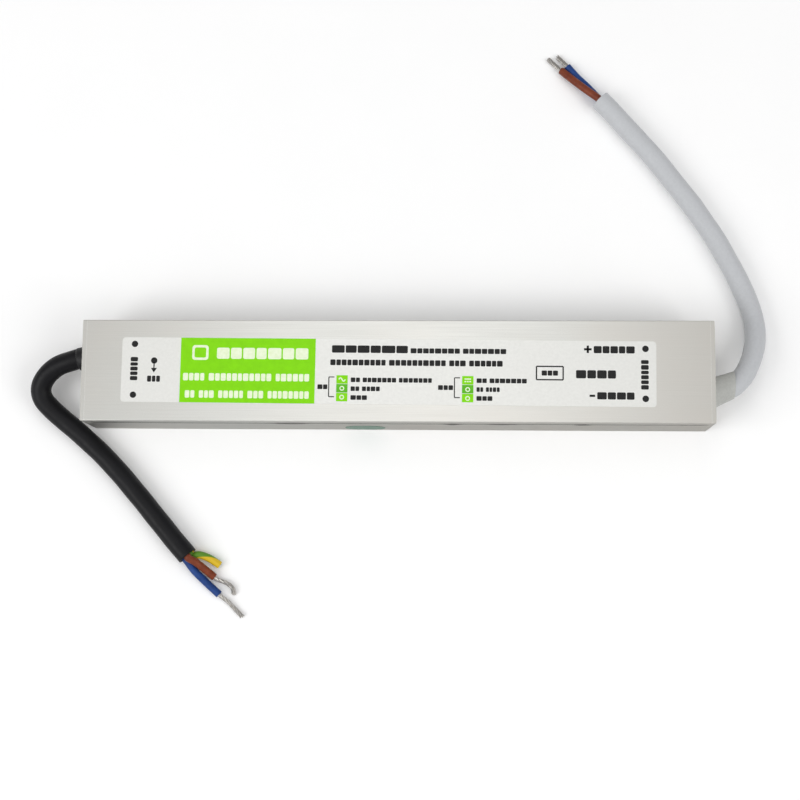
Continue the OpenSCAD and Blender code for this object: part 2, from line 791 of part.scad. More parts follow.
module can_body(d, l) {
    r = d / 2;
    rim = 0.3;
    edge = 0.5;
    groove = 2.1;
    rotate([0, 90, 0]) rotate_extrude() polygon([
        [0, edge], [r - 2 * edge, edge], [r - edge - rim, 0], [r - rim, 0], [r, rim], [r, groove - edge],
        [r - edge, groove], [r, groove + edge], [r, l - edge], [r - edge, l], [0, l],
    ]);
}

module can_pair(x, l, d) {
    for (can = [-1, 1])
        translate([can_base_x(x, l), can * can_side(d), board_top + seat_gap + d / 2]) {
            can_body(d, l);
            for (lead = [-1, 1])
                translate([-lead_reach, lead * cap_lead_y, 0])
                    rotate([0, 90, 0]) cylinder(d = cap_lead_d, h = lead_reach + 1);
        }
}

module power_package(x) {
    hole_d = 3.2;
    hole_in = 3;
    tab_l = 2.2;
    tab_step = 1.2;
    lead_w = 0.8;
    lead_t = 0.5;
    translate([x, power_y, board_top + seat_gap]) {
        difference() {
            translate([0, 0, power_h / 2]) cube([power_w, power_l, power_h], center = true);
            translate([0, power_l / 2 - hole_in, -1]) cylinder(d = hole_d, h = power_h + 2);
            translate([0, power_l / 2, power_h]) cube([power_w + 2, 2 * tab_l, 2 * tab_step], center = true);
        }
        for (place = [-1, 0, 1])
            translate([place * power_pitch, -power_l / 2 - lead_reach / 2, power_h / 2])
                cube([lead_w, lead_reach + lead_t, lead_t], center = true);
    }
}

module fuse() {
    cap_l = 2;
    cap_step = 0.3;
    color("#b9c2c4") {
        translate([fuse_x, 0, board_top + seat_gap + fuse_d / 2]) rotate([90, 0, 0]) {
            cylinder(d = fuse_d - 2 * cap_step, h = fuse_l, center = true);
            for (side = [-1, 1])
                translate([0, 0, side * (fuse_l - cap_l) / 2])
                    cylinder(d = fuse_d, h = cap_l, center = true);
            cylinder(d = wire_d, h = fuse_l + 2 * lead_reach, center = true);
        }
        pins(fuse_pins);
    }
}

module surge_varistor() {
    color("#2f5fa0") {
        coated_disc(varistor_x, 0, varistor_d, varistor_t);
        pins(varistor_pins);
    }
}

module x_capacitor() {
    color("#d8b23a") {
        translate([x_cap_x, 0, board_top + seat_gap])
            linear_extrude(x_cap_h) rounded_rect(x_cap_t, x_cap_w, x_cap_edge);
        pins(x_cap_pins);
    }
}

module line_choke_core() {
    inner = choke_id / 2;
    outer = choke_od / 2;
    top = choke_h / 2;
    color("#3d5b4a") translate([choke_x, 0, choke_z]) rotate_extrude() polygon([
        [inner + choke_edge, -top], [outer - choke_edge, -top], [outer, -top + choke_edge],
        [outer, top - choke_edge], [outer - choke_edge, top], [inner + choke_edge, top],
        [inner, top - choke_edge], [inner, -top + choke_edge],
    ]);
}

module line_choke_windings() {
    color("#b8622c") {
        for (half = [0, 180])
            tube(choke_wire(half), choke_wire_d, 8, [sin(half + choke_start), -cos(half + choke_start), 0]);
    }
}

module bridge_rectifier() {
    color("#2b2b2e") {
        dip_body(bridge_x, bridge_y, bridge_l, bridge_w, bridge_h);
        pins(bridge_pins);
    }
}

module controller_chip() {
    foot = 0.9;
    lead_t = 0.2;
    lead_w = 0.4;
    color("#2b2b2e") translate([bridge_x, chip_y, board_top]) {
        translate([0, 0, lead_t + chip_h / 2]) cube([chip_l, chip_w, chip_h], center = true);
        for (place = [-1.5, -0.5, 0.5, 1.5], side = [-1, 1])
            translate([place * chip_pitch, side * (chip_w / 2 + foot / 2), 0]) {
                translate([0, 0, lead_t / 2]) cube([lead_w, foot, lead_t], center = true);
                translate([0, -side * foot / 2, chip_h / 4 + lead_t / 2])
                    cube([lead_w, 2 * lead_t, chip_h / 2 + lead_t], center = true);
            }
    }
}

module bulk_capacitors() {
    color("#25272c") {
        can_pair(bulk_x, bulk_l, bulk_d);
        pins(bulk_pins);
    }
}

module switching_transistor() {
    color("#29292b") {
        power_package(transistor_x);
        pins(transistor_pins);
    }
}

module snubber_resistors() {
    r = resistor_d / 2;
    half = resistor_l / 2;
    end_l = 1.5;
    waist = 0.2;
    edge = 0.3;
    color("#7fb0b8") {
        for (place = [-1, 0, 1])
            translate([resistor_x + place * resistor_pitch, 0, board_top + seat_gap + r])
            rotate([90, 0, 0]) {
                rotate_extrude() polygon([
                    [0, -half], [r - edge, -half], [r, -half + edge], [r, -half + end_l],
                    [r - waist, -half + end_l + edge], [r - waist, half - end_l - edge],
                    [r, half - end_l], [r, half - edge], [r - edge, half], [0, half],
                ]);
                cylinder(d = wire_d - pin_extra, h = 2 * resistor_pin_y, center = true);
            }
        pins(resistor_pins);
    }
}

// Transformer: two E-shaped core halves, a bobbin on the middle leg, and its winding
module core_half() {
    leg_l = core_l / 2 - core_gap / 2;
    difference() {
        translate([core_gap / 2, -core_w / 2, -core_t / 2]) cube([leg_l, core_w, core_t]);
        for (side = [-1, 1])
            translate([0, side * (core_leg + window_w) / 4, 0])
                cube([window_l, (window_w - core_leg) / 2, core_t + 2], center = true);
    }
}

module transformer_core() {
    color("#4a4a4c") translate([transformer_x, 0, transformer_z])
        for (turn = [0, 180])
            rotate(turn) core_half();
}

module transformer_bobbin() {
    rail_l = (core_l - bobbin_l) / 2 + bobbin_wall + rail_reach;
    color("#2a2a2a") {
        translate([transformer_x, 0, transformer_z]) {
            difference() {
                union() {
                    cube([bobbin_l, tube_y, tube_z], center = true);
                    for (end = [-1, 1])
                        translate([end * (bobbin_l - bobbin_wall) / 2, 0, 0])
                            cube([bobbin_wall, bobbin_w, bobbin_h], center = true);
                }
                cube([core_l, core_leg + 2 * bobbin_play, core_t + 2 * bobbin_play], center = true);
            }
            for (end = [-1, 1])
                translate([end * (core_l / 2 + rail_reach - rail_l / 2), 0, -bobbin_h / 2 + rail_h / 2])
                    cube([rail_l, rail_w, rail_h], center = true);
        }
        pins(bobbin_pins);
    }
}

module transformer_winding() {
    color("#d9c23c") translate([transformer_x, 0, transformer_z]) along_x(winding_l) difference() {
        rounded_rect(bobbin_w - 2 * winding_inset, bobbin_h - 2 * winding_inset, winding_r);
        square([tube_y + 2 * bobbin_play, tube_z + 2 * bobbin_play], center = true);
    }
}

module optocoupler() {
    color("#2d2d2f") {
        dip_body(coupler_x, coupler_y, coupler_l, coupler_w, coupler_h);
        pins(coupler_pins);
    }
}

module y_capacitor() {
    color("#3a7fb8") {
        coated_disc(coupler_x, y_cap_y, y_cap_d, y_cap_t);
        pins(y_cap_pins);
    }
}

module output_rectifier() {
    color("#29292b") {
        power_package(rectifier_x);
        pins(rectifier_pins);
    }
}

module output_capacitors() {
    color("#27305a") {
        can_pair(output_cap_x, output_cap_l, output_cap_d);
        pins(output_cap_pins);
    }
}

module output_choke_core() {
    neck = drum_core_d / 2;
    rim = drum_d / 2;
    color("#4a4a4c") {
        translate([drum_x, 0, board_top + seat_gap]) rotate_extrude() polygon([
            [0, 0], [rim, 0], [rim, drum_flange_t], [neck, drum_flange_t],
            [neck, drum_h - drum_flange_t], [rim, drum_h - drum_flange_t], [rim, drum_h], [0, drum_h],
        ]);
        pins(drum_pins);
    }
}

module output_choke_winding() {
    color("#b8622c") translate([drum_x, 0, board_top + seat_gap + drum_flange_t + bobbin_play])
        difference() {
            h = drum_h - 2 * drum_flange_t - 2 * bobbin_play;
            cylinder(d = drum_d - 2 * drum_inset, h = h);
            translate([0, 0, -1]) cylinder(d = drum_core_d + 2 * bobbin_play, h = h + 2);
        }
}

// Leads between the cables and the board
module input_inner_leads() {
    starts = [[-core_spread, -core_drop], [0, 2 * core_drop], [core_spread, -core_drop]];
    color("#8a8f3a")
        for (i = [0:2])
            tube(inner_lead(input_inner_end + [0, starts[i].x, starts[i].y], 1, input_pads[i]),
                 core_d, 8, [0, 1, 0]);
}

module output_inner_leads() {
    color("#2f5fa0")
        for (i = [0, 1])
            tube(inner_lead(output_inner_end + [0, (2 * i - 1) * core_spread, 0], -1, output_pads[i]),
                 core_d, 8, [0, 1, 0]);
}

// Potting: fills the housing between the cable chambers, above and below the board
module pocket(x, y, l, w, h) {
    translate([x - l / 2 - potting_gap, y - w / 2 - potting_gap, board_top - eps])
        cube([l + 2 * potting_gap, w + 2 * potting_gap, seat_gap + h + potting_gap + eps]);
}

module component_pockets() {
    dip_side = 2 * dip_reach + dip_pin_d;
    pocket(fuse_x, 0, fuse_d, fuse_l + 2 * lead_reach + wire_d, fuse_d);
    pocket(varistor_x, 0, varistor_t, varistor_d, disc_lift + varistor_d);
    pocket(x_cap_x, 0, x_cap_t, x_cap_w, x_cap_h);
    choke_outer = choke_od + 2 * choke_wire_d + 2 * choke_clear;
    pocket(choke_x, 0, choke_outer, choke_outer, choke_h + 2 * choke_wire_d + 2 * choke_clear);
    pocket(bridge_x, bridge_y, bridge_l, bridge_w + dip_side, bridge_h);
    pocket(bridge_x, chip_y, chip_l, chip_w + 2, chip_h + 0.5);
    pocket(can_base_x(bulk_x, bulk_l) + (bulk_l - lead_reach) / 2, 0, bulk_l + lead_reach + 0.8,
           2 * bulk_d + cap_side_gap, bulk_d);
    pocket(transistor_x, power_y - lead_reach / 2, power_w, power_l + lead_reach + 1.2, power_h);
    pocket(resistor_x, 0, 2 * resistor_pitch + resistor_d, 2 * resistor_pin_y + wire_d, resistor_d);
    pocket(transformer_x, 0, core_l + 2 * rail_reach, core_w, bobbin_h);
    pocket(coupler_x, coupler_y, coupler_l, coupler_w + dip_side, coupler_h);
    pocket(coupler_x, y_cap_y, y_cap_t, y_cap_d, disc_lift + y_cap_d);
    pocket(rectifier_x, power_y - lead_reach / 2, power_w, power_l + lead_reach + 1.2, power_h);
    pocket(can_base_x(output_cap_x, output_cap_l) + (output_cap_l - lead_reach) / 2, 0,
           output_cap_l + lead_reach + 0.8, 2 * output_cap_d + cap_side_gap, output_cap_d);
    pocket(drum_x, 0, drum_d, drum_d, drum_h);
}

module potting_compound() {
    from_x = input_pad_x + pad_zone / 2;
    to_x = output_pad_x - pad_zone / 2;
    rib_top = board_top + board_play + rib_h;
    lower_w = inner_w - 2 * port_size;
    color("#5c5a55") translate([(from_x + to_x) / 2, 0, 0]) {
        difference() {
            along_x(to_x - from_x) difference() {
                translate([-inner_w / 2, board_top]) square([inner_w, cover_under - board_top]);
                for (side = [-1, 1]) {
                    translate([side * (inner_w / 2 - rib_reach / 2), (board_top + rib_top) / 2])
                        square([rib_reach, rib_top - board_top + eps], center = true);
                    translate([side * (upper_port_y + cover_play / 2), upper_port_z])
                        square([port_size + cover_play, port_size + eps], center = true);
                }
            }
            translate([-(from_x + to_x) / 2, 0, 0]) component_pockets();
        }
        difference() {
            translate([0, 0, (floor_t + sheet_t + board_bottom) / 2])
                cube([to_x - from_x, lower_w, board_bottom - floor_t - sheet_t], center = true);
            for (p = concat(component_pins, choke_pins))
                translate([p.x - (from_x + to_x) / 2, p.y, board_bottom - pin_tail - potting_gap])
                    cylinder(d = p[2] + 2 * potting_gap, h = pin_tail + 2 * potting_gap);
        }
    }
}

// Cables, cores and tinned tips
module input_cable() {
    color("#1d1d20") tube(input_path, input_cable_d, 12);
}

module output_cable() {
    color("#e4e4e2") tube(output_path, output_cable_d, 12);
}

module input_earth_core() {
    color("#8fae2c") tube(earth_path, core_d, 8);
}

module input_live_core() {
    color("#6b3f22") tube(live_path, core_d, 8);
}

module input_neutral_core() {
    color("#2d6fb4") tube(neutral_path, core_d, 8);
}

module input_live_tip() {
    color("#b9b6ae") tube(tip_path(live_path, input_path, live_tip_route), tip_d, 8);
}

module input_neutral_tip() {
    color("#b9b6ae") tube(tip_path(neutral_path, input_path, neutral_tip_route), tip_d, 8);
}

module output_positive_core() {
    color("#8a3b2a") tube(positive_path, core_d, 8);
}

module output_negative_core() {
    color("#2d6fb4") tube(negative_path, core_d, 8);
}

module output_positive_tip() {
    color("#b9b6ae") tube(tip_path(positive_path, output_path, positive_tip_route), tip_d, 8);
}

module output_negative_tip() {
    color("#b9b6ae") tube(tip_path(negative_path, output_path, negative_tip_route), tip_d, 8);
}

base_channel();
top_cover();
input_end_plate();
output_end_plate();
input_plate_screws();
output_plate_screws();
input_grommet();
output_grommet();
label();
inspection_sticker();
insulating_sheet();
circuit_board();
fuse();
surge_varistor();
x_capacitor();
line_choke_core();
line_choke_windings();
bridge_rectifier();
controller_chip();
bulk_capacitors();
switching_transistor();
snubber_resistors();
transformer_core();
transformer_bobbin();
transformer_winding();
optocoupler();
y_capacitor();
output_rectifier();
output_capacitors();
output_choke_core();
output_choke_winding();
input_inner_leads();
output_inner_leads();
potting_compound();
input_cable();
input_earth_core();
input_live_core();
input_neutral_core();
input_live_tip();
input_neutral_tip();
output_cable();
output_positive_core();
output_negative_core();
output_positive_tip();
output_negative_tip();
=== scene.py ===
"""Looks of a slim potted LED driver: satin aluminium housing, printed film label and two loose cables.

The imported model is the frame. The script dresses its nodes, builds the pieces that are left to it,
and sets the camera and a plain studio around them. Places are in millimetres until they reach a mesh.
"""

import logging
import math
from collections.abc import Iterable, Sequence
from dataclasses import dataclass, field
from enum import Enum

import bpy
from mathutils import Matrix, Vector


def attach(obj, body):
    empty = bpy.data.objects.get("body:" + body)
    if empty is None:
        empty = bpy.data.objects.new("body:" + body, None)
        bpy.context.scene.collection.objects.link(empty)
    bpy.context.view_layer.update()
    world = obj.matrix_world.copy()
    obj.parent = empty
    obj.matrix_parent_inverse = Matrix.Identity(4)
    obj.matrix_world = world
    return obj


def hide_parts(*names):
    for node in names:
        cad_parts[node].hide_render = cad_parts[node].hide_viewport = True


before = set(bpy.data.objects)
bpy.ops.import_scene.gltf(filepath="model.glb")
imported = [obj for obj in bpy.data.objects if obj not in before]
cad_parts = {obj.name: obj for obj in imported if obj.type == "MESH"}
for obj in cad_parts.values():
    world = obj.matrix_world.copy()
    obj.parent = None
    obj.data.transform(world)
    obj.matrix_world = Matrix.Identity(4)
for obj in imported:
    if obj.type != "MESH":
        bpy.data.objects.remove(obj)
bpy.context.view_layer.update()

LOG = logging.getLogger("led_driver")
MM = 0.001
BODY = "root"
UP = Vector((0, 0, 1))
WHOLE_RANGE = (0.0, 1.0)

Point = tuple[float, float, float]
Flat = tuple[float, float]
Socket = bpy.types.NodeSocket


@dataclass(frozen=True)
class Housing:
    """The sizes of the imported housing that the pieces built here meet."""

    half_length: float = 92.5
    half_width: float = 15.0
    seam_z: float = 15.4
    film_top: float = 20.12
    cable_z: float = 10.0
    input_y: float = 5.0
    output_y: float = -5.0
    cable_inner_x: float = 86.3


HOUSING = Housing()


def linear(colour: str) -> tuple[float, float, float, float]:
    """Turns a written sRGB colour into the linear colour that a shader takes.

    Args:
        colour: The colour as "#rrggbb".

    Returns:
        Red, green, blue and an alpha of one.
    """
    parts = [int(colour[i : i + 2], 16) / 255 for i in (1, 3, 5)]
    red, green, blue = (c / 12.92 if c <= 0.04045 else ((c + 0.055) / 1.055) ** 2.4 for c in parts)
    return red, green, blue, 1.0


def turns(count: int) -> list[float]:
    """Gives angles spread evenly over one turn."""
    return [2 * math.pi * k / count for k in range(count)]


def around(middle: Flat, radius: float, angles: Iterable[float]) -> list[Flat]:
    """Gives flat points at a radius around a middle."""
    return [(middle[0] + radius * math.cos(a), middle[1] + radius * math.sin(a)) for a in angles]


class Effect(Enum):
    """The shader effects that materials share, each one node group."""

    GRAIN = "Fine grain"
    STREAKS = "Drawn streaks"
    STRIPES = "Wound stripes"
    # The edge wear group also paints the highlight on the edges of some finishes.
    WEAR_AND_HIGHLIGHT = "Edge wear"
    DUST = "Settled dust"


class Pattern(Enum):
    """What breaks up the colour of a finish: an effect, and its input that takes the scale."""

    GRAIN = (Effect.GRAIN, "Scale")
    STREAKS = (Effect.STREAKS, "Across")
    STRIPES = (Effect.STRIPES, "Turns")


class NodeSketch:
    """Adds and links nodes in one node tree."""

    def __init__(self, tree: bpy.types.NodeTree) -> None:
        """Keeps the tree that the nodes go into."""
        self.tree = tree

    def add(self, kind: str, values: dict | None = None, **settings: object) -> bpy.types.Node:
        """Adds a node and fills its inputs.

        Args:
            kind: The node's type name.
            values: Input names or places, each with a number or the socket that feeds it.
            settings: Attributes of the node itself.

        Returns:
            The new node.
        """
        node = self.tree.nodes.new(kind)
        for name, value in settings.items():
            setattr(node, name, value)
        for name, value in (values or {}).items():
            self.feed(node.inputs[name], value)
        return node

    def feed(self, target: Socket, value: object) -> None:
        """Links a socket to an input, or sets the input's own value.

        Args:
            target: The input.
            value: A socket to link, or the value to set.
        """
        if isinstance(value, bpy.types.NodeSocket):
            self.tree.links.new(value, target)
        else:
            target.default_value = value

    def group(self, tree: bpy.types.NodeTree, values: dict) -> Socket:
        """Places a shared group in this tree, fills its inputs and gives its mask."""
        return self.add("ShaderNodeGroup", values, node_tree=tree).outputs["Mask"]

    def own_place(self) -> Socket:
        """Gives the place of a point in the object's own space."""
        return self.add("ShaderNodeTexCoord").outputs["Object"]

    def noise(self, place: Socket, scale: object, detail: float) -> Socket:
        """Gives cloudy noise of one scale."""
        values = {"Vector": place, "Scale": scale, "Detail": detail}
        return self.add("ShaderNodeTexNoise", values).outputs[0]

    def blend(self, mask: Socket, first: object, second: object) -> Socket:
        """Mixes two colours by a mask and gives the colour."""
        values = {0: mask, 6: first, 7: second}
        return self.add("ShaderNodeMix", values, data_type="RGBA").outputs[2]

    def remap(self, value: Socket, source: Flat, target: Flat) -> Socket:
        """Stretches a value from one range to another, clamped at both ends."""
        values = {0: value, 1: source[0], 2: source[1], 3: target[0], 4: target[1]}
        return self.add("ShaderNodeMapRange", values).outputs[0]

    def calculate(self, operation: str, first: object, second: object = 0.0) -> Socket:
        """Joins two values by one operation."""
        return self.add("ShaderNodeMath", {0: first, 1: second}, operation=operation).outputs[0]


class EffectGroups:
    """Builds each shared effect once, as a node group with number inputs and one mask.

    A range here is the pair of values between which a mask rises from nothing to all.
    """

    grain_range: Flat = (0.3, 0.7)
    grain_detail: float = 4.0
    streak_range: Flat = (0.33, 0.67)
    streak_detail: float = 3.0
    speck_scale: float = 3200.0
    speck_detail: float = 2.0
    stripe_range: Flat = (-0.015, 0.015)
    edge_range: Flat = (0.995, 0.8)
    edge_samples: int = 6
    edge_patch_range: Flat = (0.35, 0.65)
    edge_patch_strength: Flat = (0.25, 1.0)
    edge_patch_detail: float = 3.0
    upward_range: Flat = (0.2, 0.9)
    dust_range: Flat = (0.4, 0.7)
    dust_detail: float = 5.0

    def __init__(self) -> None:
        """Makes every group."""
        self.trees: dict[Effect, bpy.types.NodeTree] = {}
        self._grain()
        self._streaks()
        self._stripes()
        self._wear()
        self._dust()

    def _start(self, effect: Effect, inputs: dict[str, float]) -> tuple[NodeSketch, dict[str, Socket]]:
        """Starts a group with number inputs and one mask output.

        Args:
            effect: The effect that the group holds.
            inputs: The names of its inputs with their usual values.

        Returns:
            A sketch of the group's tree, and its input sockets by name.
        """
        tree = bpy.data.node_groups.new(effect.value, "ShaderNodeTree")
        for name, value in inputs.items():
            socket = tree.interface.new_socket(name, in_out="INPUT", socket_type="NodeSocketFloat")
            socket.default_value = value
        tree.interface.new_socket("Mask", in_out="OUTPUT", socket_type="NodeSocketFloat")
        self.trees[effect] = tree
        sketch = NodeSketch(tree)
        entry = sketch.add("NodeGroupInput")
        return sketch, {name: entry.outputs[name] for name in inputs}

    @staticmethod
    def _end(sketch: NodeSketch, mask: Socket) -> None:
        """Leads a mask out of the group."""
        sketch.add("NodeGroupOutput", {"Mask": mask})

    def _grain(self) -> None:
        """Cloudy grain of one size, in the object's own space."""
        sketch, given = self._start(Effect.GRAIN, {"Scale": 1000.0})
        noise = sketch.noise(sketch.own_place(), given["Scale"], self.grain_detail)
        self._end(sketch, sketch.remap(noise, self.grain_range, WHOLE_RANGE))

    def _streaks(self) -> None:
        """Fine lines drawn along X, broken by a little grain."""
        sketch, given = self._start(Effect.STREAKS, {"Along": 40.0, "Across": 2500.0, "Grain": 0.4})
        place = sketch.own_place()
        along, across = given["Along"], given["Across"]
        spread = sketch.add("ShaderNodeCombineXYZ", {0: along, 1: across, 2: across})
        drawn = sketch.add("ShaderNodeVectorMath", {0: place, 1: spread.outputs[0]}, operation="MULTIPLY")
        lines = sketch.noise(drawn.outputs[0], 1.0, self.streak_detail)
        specks = sketch.noise(place, self.speck_scale, self.speck_detail)
        mixed = sketch.add("ShaderNodeMix", {0: given["Grain"], 2: lines, 3: specks})
        self._end(sketch, sketch.remap(mixed.outputs[0], self.streak_range, WHOLE_RANGE))

    def _stripes(self) -> None:
        """Two bands that wind slowly along a core, by its own mapping."""
        sketch, given = self._start(Effect.STRIPES, {"Share": 0.4, "Turns": 20.0})
        mapping = sketch.add("ShaderNodeTexCoord").outputs["UV"]
        parts = sketch.add("ShaderNodeSeparateXYZ", {0: mapping})
        wound = sketch.calculate("MULTIPLY", parts.outputs[1], given["Turns"])
        turned = sketch.calculate("FRACT", sketch.calculate("ADD", parts.outputs[0], wound))
        centred = sketch.calculate("ABSOLUTE", sketch.calculate("SUBTRACT", turned, 0.5))
        half_share = sketch.calculate("MULTIPLY", given["Share"], 0.5)
        inside = sketch.calculate("SUBTRACT", half_share, centred)
        self._end(sketch, sketch.remap(inside, self.stripe_range, WHOLE_RANGE))

    def _wear(self) -> None:
        """Rubbed edges and painted edge highlights: where a rounded normal leaves the true one, broken by
        noise.
        """
        sketch, given = self._start(Effect.WEAR_AND_HIGHLIGHT, {"Radius": 0.0004, "Scale": 900.0})
        rounded = sketch.add("ShaderNodeBevel", {"Radius": given["Radius"]}, samples=self.edge_samples)
        true = sketch.add("ShaderNodeNewGeometry").outputs["Normal"]
        near = sketch.add("ShaderNodeVectorMath", {0: rounded.outputs[0], 1: true}, operation="DOT_PRODUCT")
        edge = sketch.remap(near.outputs["Value"], self.edge_range, WHOLE_RANGE)
        noise = sketch.noise(sketch.own_place(), given["Scale"], self.edge_patch_detail)
        edge_patches = sketch.remap(noise, self.edge_patch_range, self.edge_patch_strength)
        self._end(sketch, sketch.calculate("MULTIPLY", edge, edge_patches))

    def _dust(self) -> None:
        """Thin dust on what faces up."""
        sketch, given = self._start(Effect.DUST, {"Amount": 0.1, "Scale": 260.0})
        facing = sketch.add("ShaderNodeNewGeometry").outputs["Normal"]
        height = sketch.add("ShaderNodeSeparateXYZ", {0: facing}).outputs[2]
        upward = sketch.remap(height, self.upward_range, WHOLE_RANGE)
        noise = sketch.noise(sketch.own_place(), given["Scale"], self.dust_detail)
        cloud = sketch.remap(noise, self.dust_range, WHOLE_RANGE)
        settled = sketch.calculate("MULTIPLY", upward, cloud)
        self._end(sketch, sketch.calculate("MULTIPLY", settled, given["Amount"]))


@dataclass(frozen=True)
class Finish:
    """One finish: two tones, what mixes them, and the shader's plain values.

    Attributes:
        name: The material's name.
        colour: The main tone as "#rrggbb".
        shade: The second tone, which the pattern mixes in.
        roughness: The middle of the roughness.
        spread: How far the roughness strays from its middle.
        metallic: The shader's own value.
        specular: The shader's own level.
        relief: The depth of the bumps in millimetres.
        pattern: What mixes the two tones.
        scale: The pattern's scale.
        edge_wear_and_highlight: The tone of rubbed edges, which on some finishes is a painted edge
            highlight, or nothing.
        dust: How much dust lies on what faces up.
        tint: The tone of large clouds, or nothing.
        tint_scale: The scale of those clouds.
        edge_tint: How bright the shader's specular tint is.
    """

    name: str
    colour: str
    shade: str
    roughness: float = 0.5
    spread: float = 0.06
    metallic: float = 0.0
    specular: float = 0.5
    relief: float = 0.004
    pattern: Pattern = Pattern.GRAIN
    scale: float = 1500.0
    edge_wear_and_highlight: str = ""
    dust: float = 0.0
    tint: str = ""
    tint_scale: float = 14.0
    edge_tint: float = 1.0


class PaintShop:
    """Turns finishes into materials, each one once."""

    dust_colour: str = "#cfcac0"
    bump_strength: float = 0.5
    least_relief_scale: float = 600.0

    def __init__(self) -> None:
        """Makes the shared effects."""
        self.effects = EffectGroups()
        self.made: dict[str, bpy.types.Material] = {}

    def material(self, finish: Finish) -> bpy.types.Material:
        """Gives the material of a finish.

        Args:
            finish: The finish to mix.

        Returns:
            The material, made at the first call and shared afterwards.
        """
        if finish.name not in self.made:
            self.made[finish.name] = self._mix(finish)
        return self.made[finish.name]

    def _mask(self, sketch: NodeSketch, effect: Effect, values: dict) -> Socket:
        """Gives the mask of a shared effect with its inputs filled."""
        return sketch.group(self.effects.trees[effect], values)

    def _colour(self, sketch: NodeSketch, finish: Finish, mask: Socket) -> Socket:
        """Mixes the tones of a finish.

        Args:
            sketch: The material's tree.
            finish: The finish to mix.
            mask: The mask of its pattern.

        Returns:
            The colour, with clouds, rubbed edges and painted edge highlights, and dust where the finish has
            them.
        """
        colour = sketch.blend(mask, linear(finish.colour), linear(finish.shade))
        if finish.tint:
            cloud = self._mask(sketch, Effect.GRAIN, {"Scale": finish.tint_scale})
            colour = sketch.blend(cloud, colour, linear(finish.tint))
        # Rubbed edges; on some finishes this edge tone is a painted highlight.
        if finish.edge_wear_and_highlight:
            wear_and_highlight = self._mask(sketch, Effect.WEAR_AND_HIGHLIGHT, {})
            colour = sketch.blend(wear_and_highlight, colour, linear(finish.edge_wear_and_highlight))
        if finish.dust:
            dust = self._mask(sketch, Effect.DUST, {"Amount": finish.dust})
            colour = sketch.blend(dust, colour, linear(self.dust_colour))
        return colour

    def _mix(self, finish: Finish) -> bpy.types.Material:
        """Builds the nodes of one finish.

        Args:
            finish: The finish to mix.

        Returns:
            The new material.
        """
        material = bpy.data.materials.new(finish.name)
        material.use_nodes = True
        material.diffuse_color = linear(finish.colour)
        sketch = NodeSketch(material.node_tree)
        shader = material.node_tree.nodes["Principled BSDF"]
        effect, scale_input = finish.pattern.value
        mask = self._mask(sketch, effect, {scale_input: finish.scale})
        uneven = mask
        if finish.pattern is not Pattern.STREAKS:
            uneven = self._mask(sketch, Effect.GRAIN, {"Scale": max(finish.scale, self.least_relief_scale)})
        limits = (finish.roughness - finish.spread, finish.roughness + finish.spread)
        bumps = {"Strength": self.bump_strength, "Distance": finish.relief * MM, "Height": uneven}
        sketch.feed(shader.inputs["Base Color"], self._colour(sketch, finish, mask))
        sketch.feed(shader.inputs["Roughness"], sketch.remap(uneven, WHOLE_RANGE, limits))
        sketch.feed(shader.inputs["Normal"], sketch.add("ShaderNodeBump", bumps).outputs[0])
        shader.inputs["Metallic"].default_value = finish.metallic
        shader.inputs["Specular IOR Level"].default_value = finish.specular
        shader.inputs["Specular Tint"].default_value = (*[finish.edge_tint] * 3, 1)
        return material


def spline(points: Sequence[Vector], step: float, fewest: int = 2) -> list[Vector]:
    """Runs a smooth line through points.

    Args:
        points: The points to pass, in order.
        step: The distance between the points that come back.
        fewest: The least number of steps from one point to the next.

    Returns:
        Points along the line, both ends included.
    """
    ends = [2 * points[0] - points[1], *points, 2 * points[-1] - points[-2]]
    line: list[Vector] = []
    for a, b, c, d in zip(ends, ends[1:], ends[2:], ends[3:], strict=False):
        count = max(fewest, math.ceil((c - b).length / step))
        for i in range(count):
            t = i / count
            bend = 2 * a - 5 * b + 4 * c - d
            twist = 3 * b - a - 3 * c + d
            line.append(0.5 * (2 * b + (c - a) * t + bend * t**2 + twist * t**3))
    return [*line, points[-1].copy()]


@dataclass
class Station:
    """One place along a path: where it is, how far along, and the directions across it."""

    place: Vector
    along: float
    ahead: Vector
    across: Vector
    above: Vector

    def rim(self, radius: float, angle: float) -> Vector:
        """Gives the point at a radius and angle around the path."""
        return self.place + radius * (math.cos(angle) * self.across + math.sin(angle) * self.above)

    def ring(self, radius: float, sides: int) -> list[Vector]:
        """Gives a round ring of points around the path."""
        return [self.rim(radius, angle) for angle in turns(sides)]

    def moved(self, distance: float) -> "Station":
        """Gives the same station a little further along its own direction."""
        place = self.place + distance * self.ahead
        return Station(place, self.along + distance, self.ahead, self.across, self.above)


def stations(path: Sequence[Vector]) -> list[Station]:
    """Carries a cross-section along a path without twisting it.

    Args:
        path: The points of the path.

    Returns:
        A station for each point.
    """
    last = len(path) - 1
    ahead = [(path[min(i + 1, last)] - path[max(i - 1, 0)]).normalized() for i in range(last + 1)]
    across = UP.cross(ahead[0]).normalized()
    travelled = 0.0
    result = []
    for i, place in enumerate(path):
        if i:
            travelled += (place - path[i - 1]).length
            across = ahead[i - 1].rotation_difference(ahead[i]) @ across
        across = (across - across.dot(ahead[i]) * ahead[i]).normalized()
        result.append(Station(place, travelled, ahead[i], across, ahead[i].cross(across)))
    return result


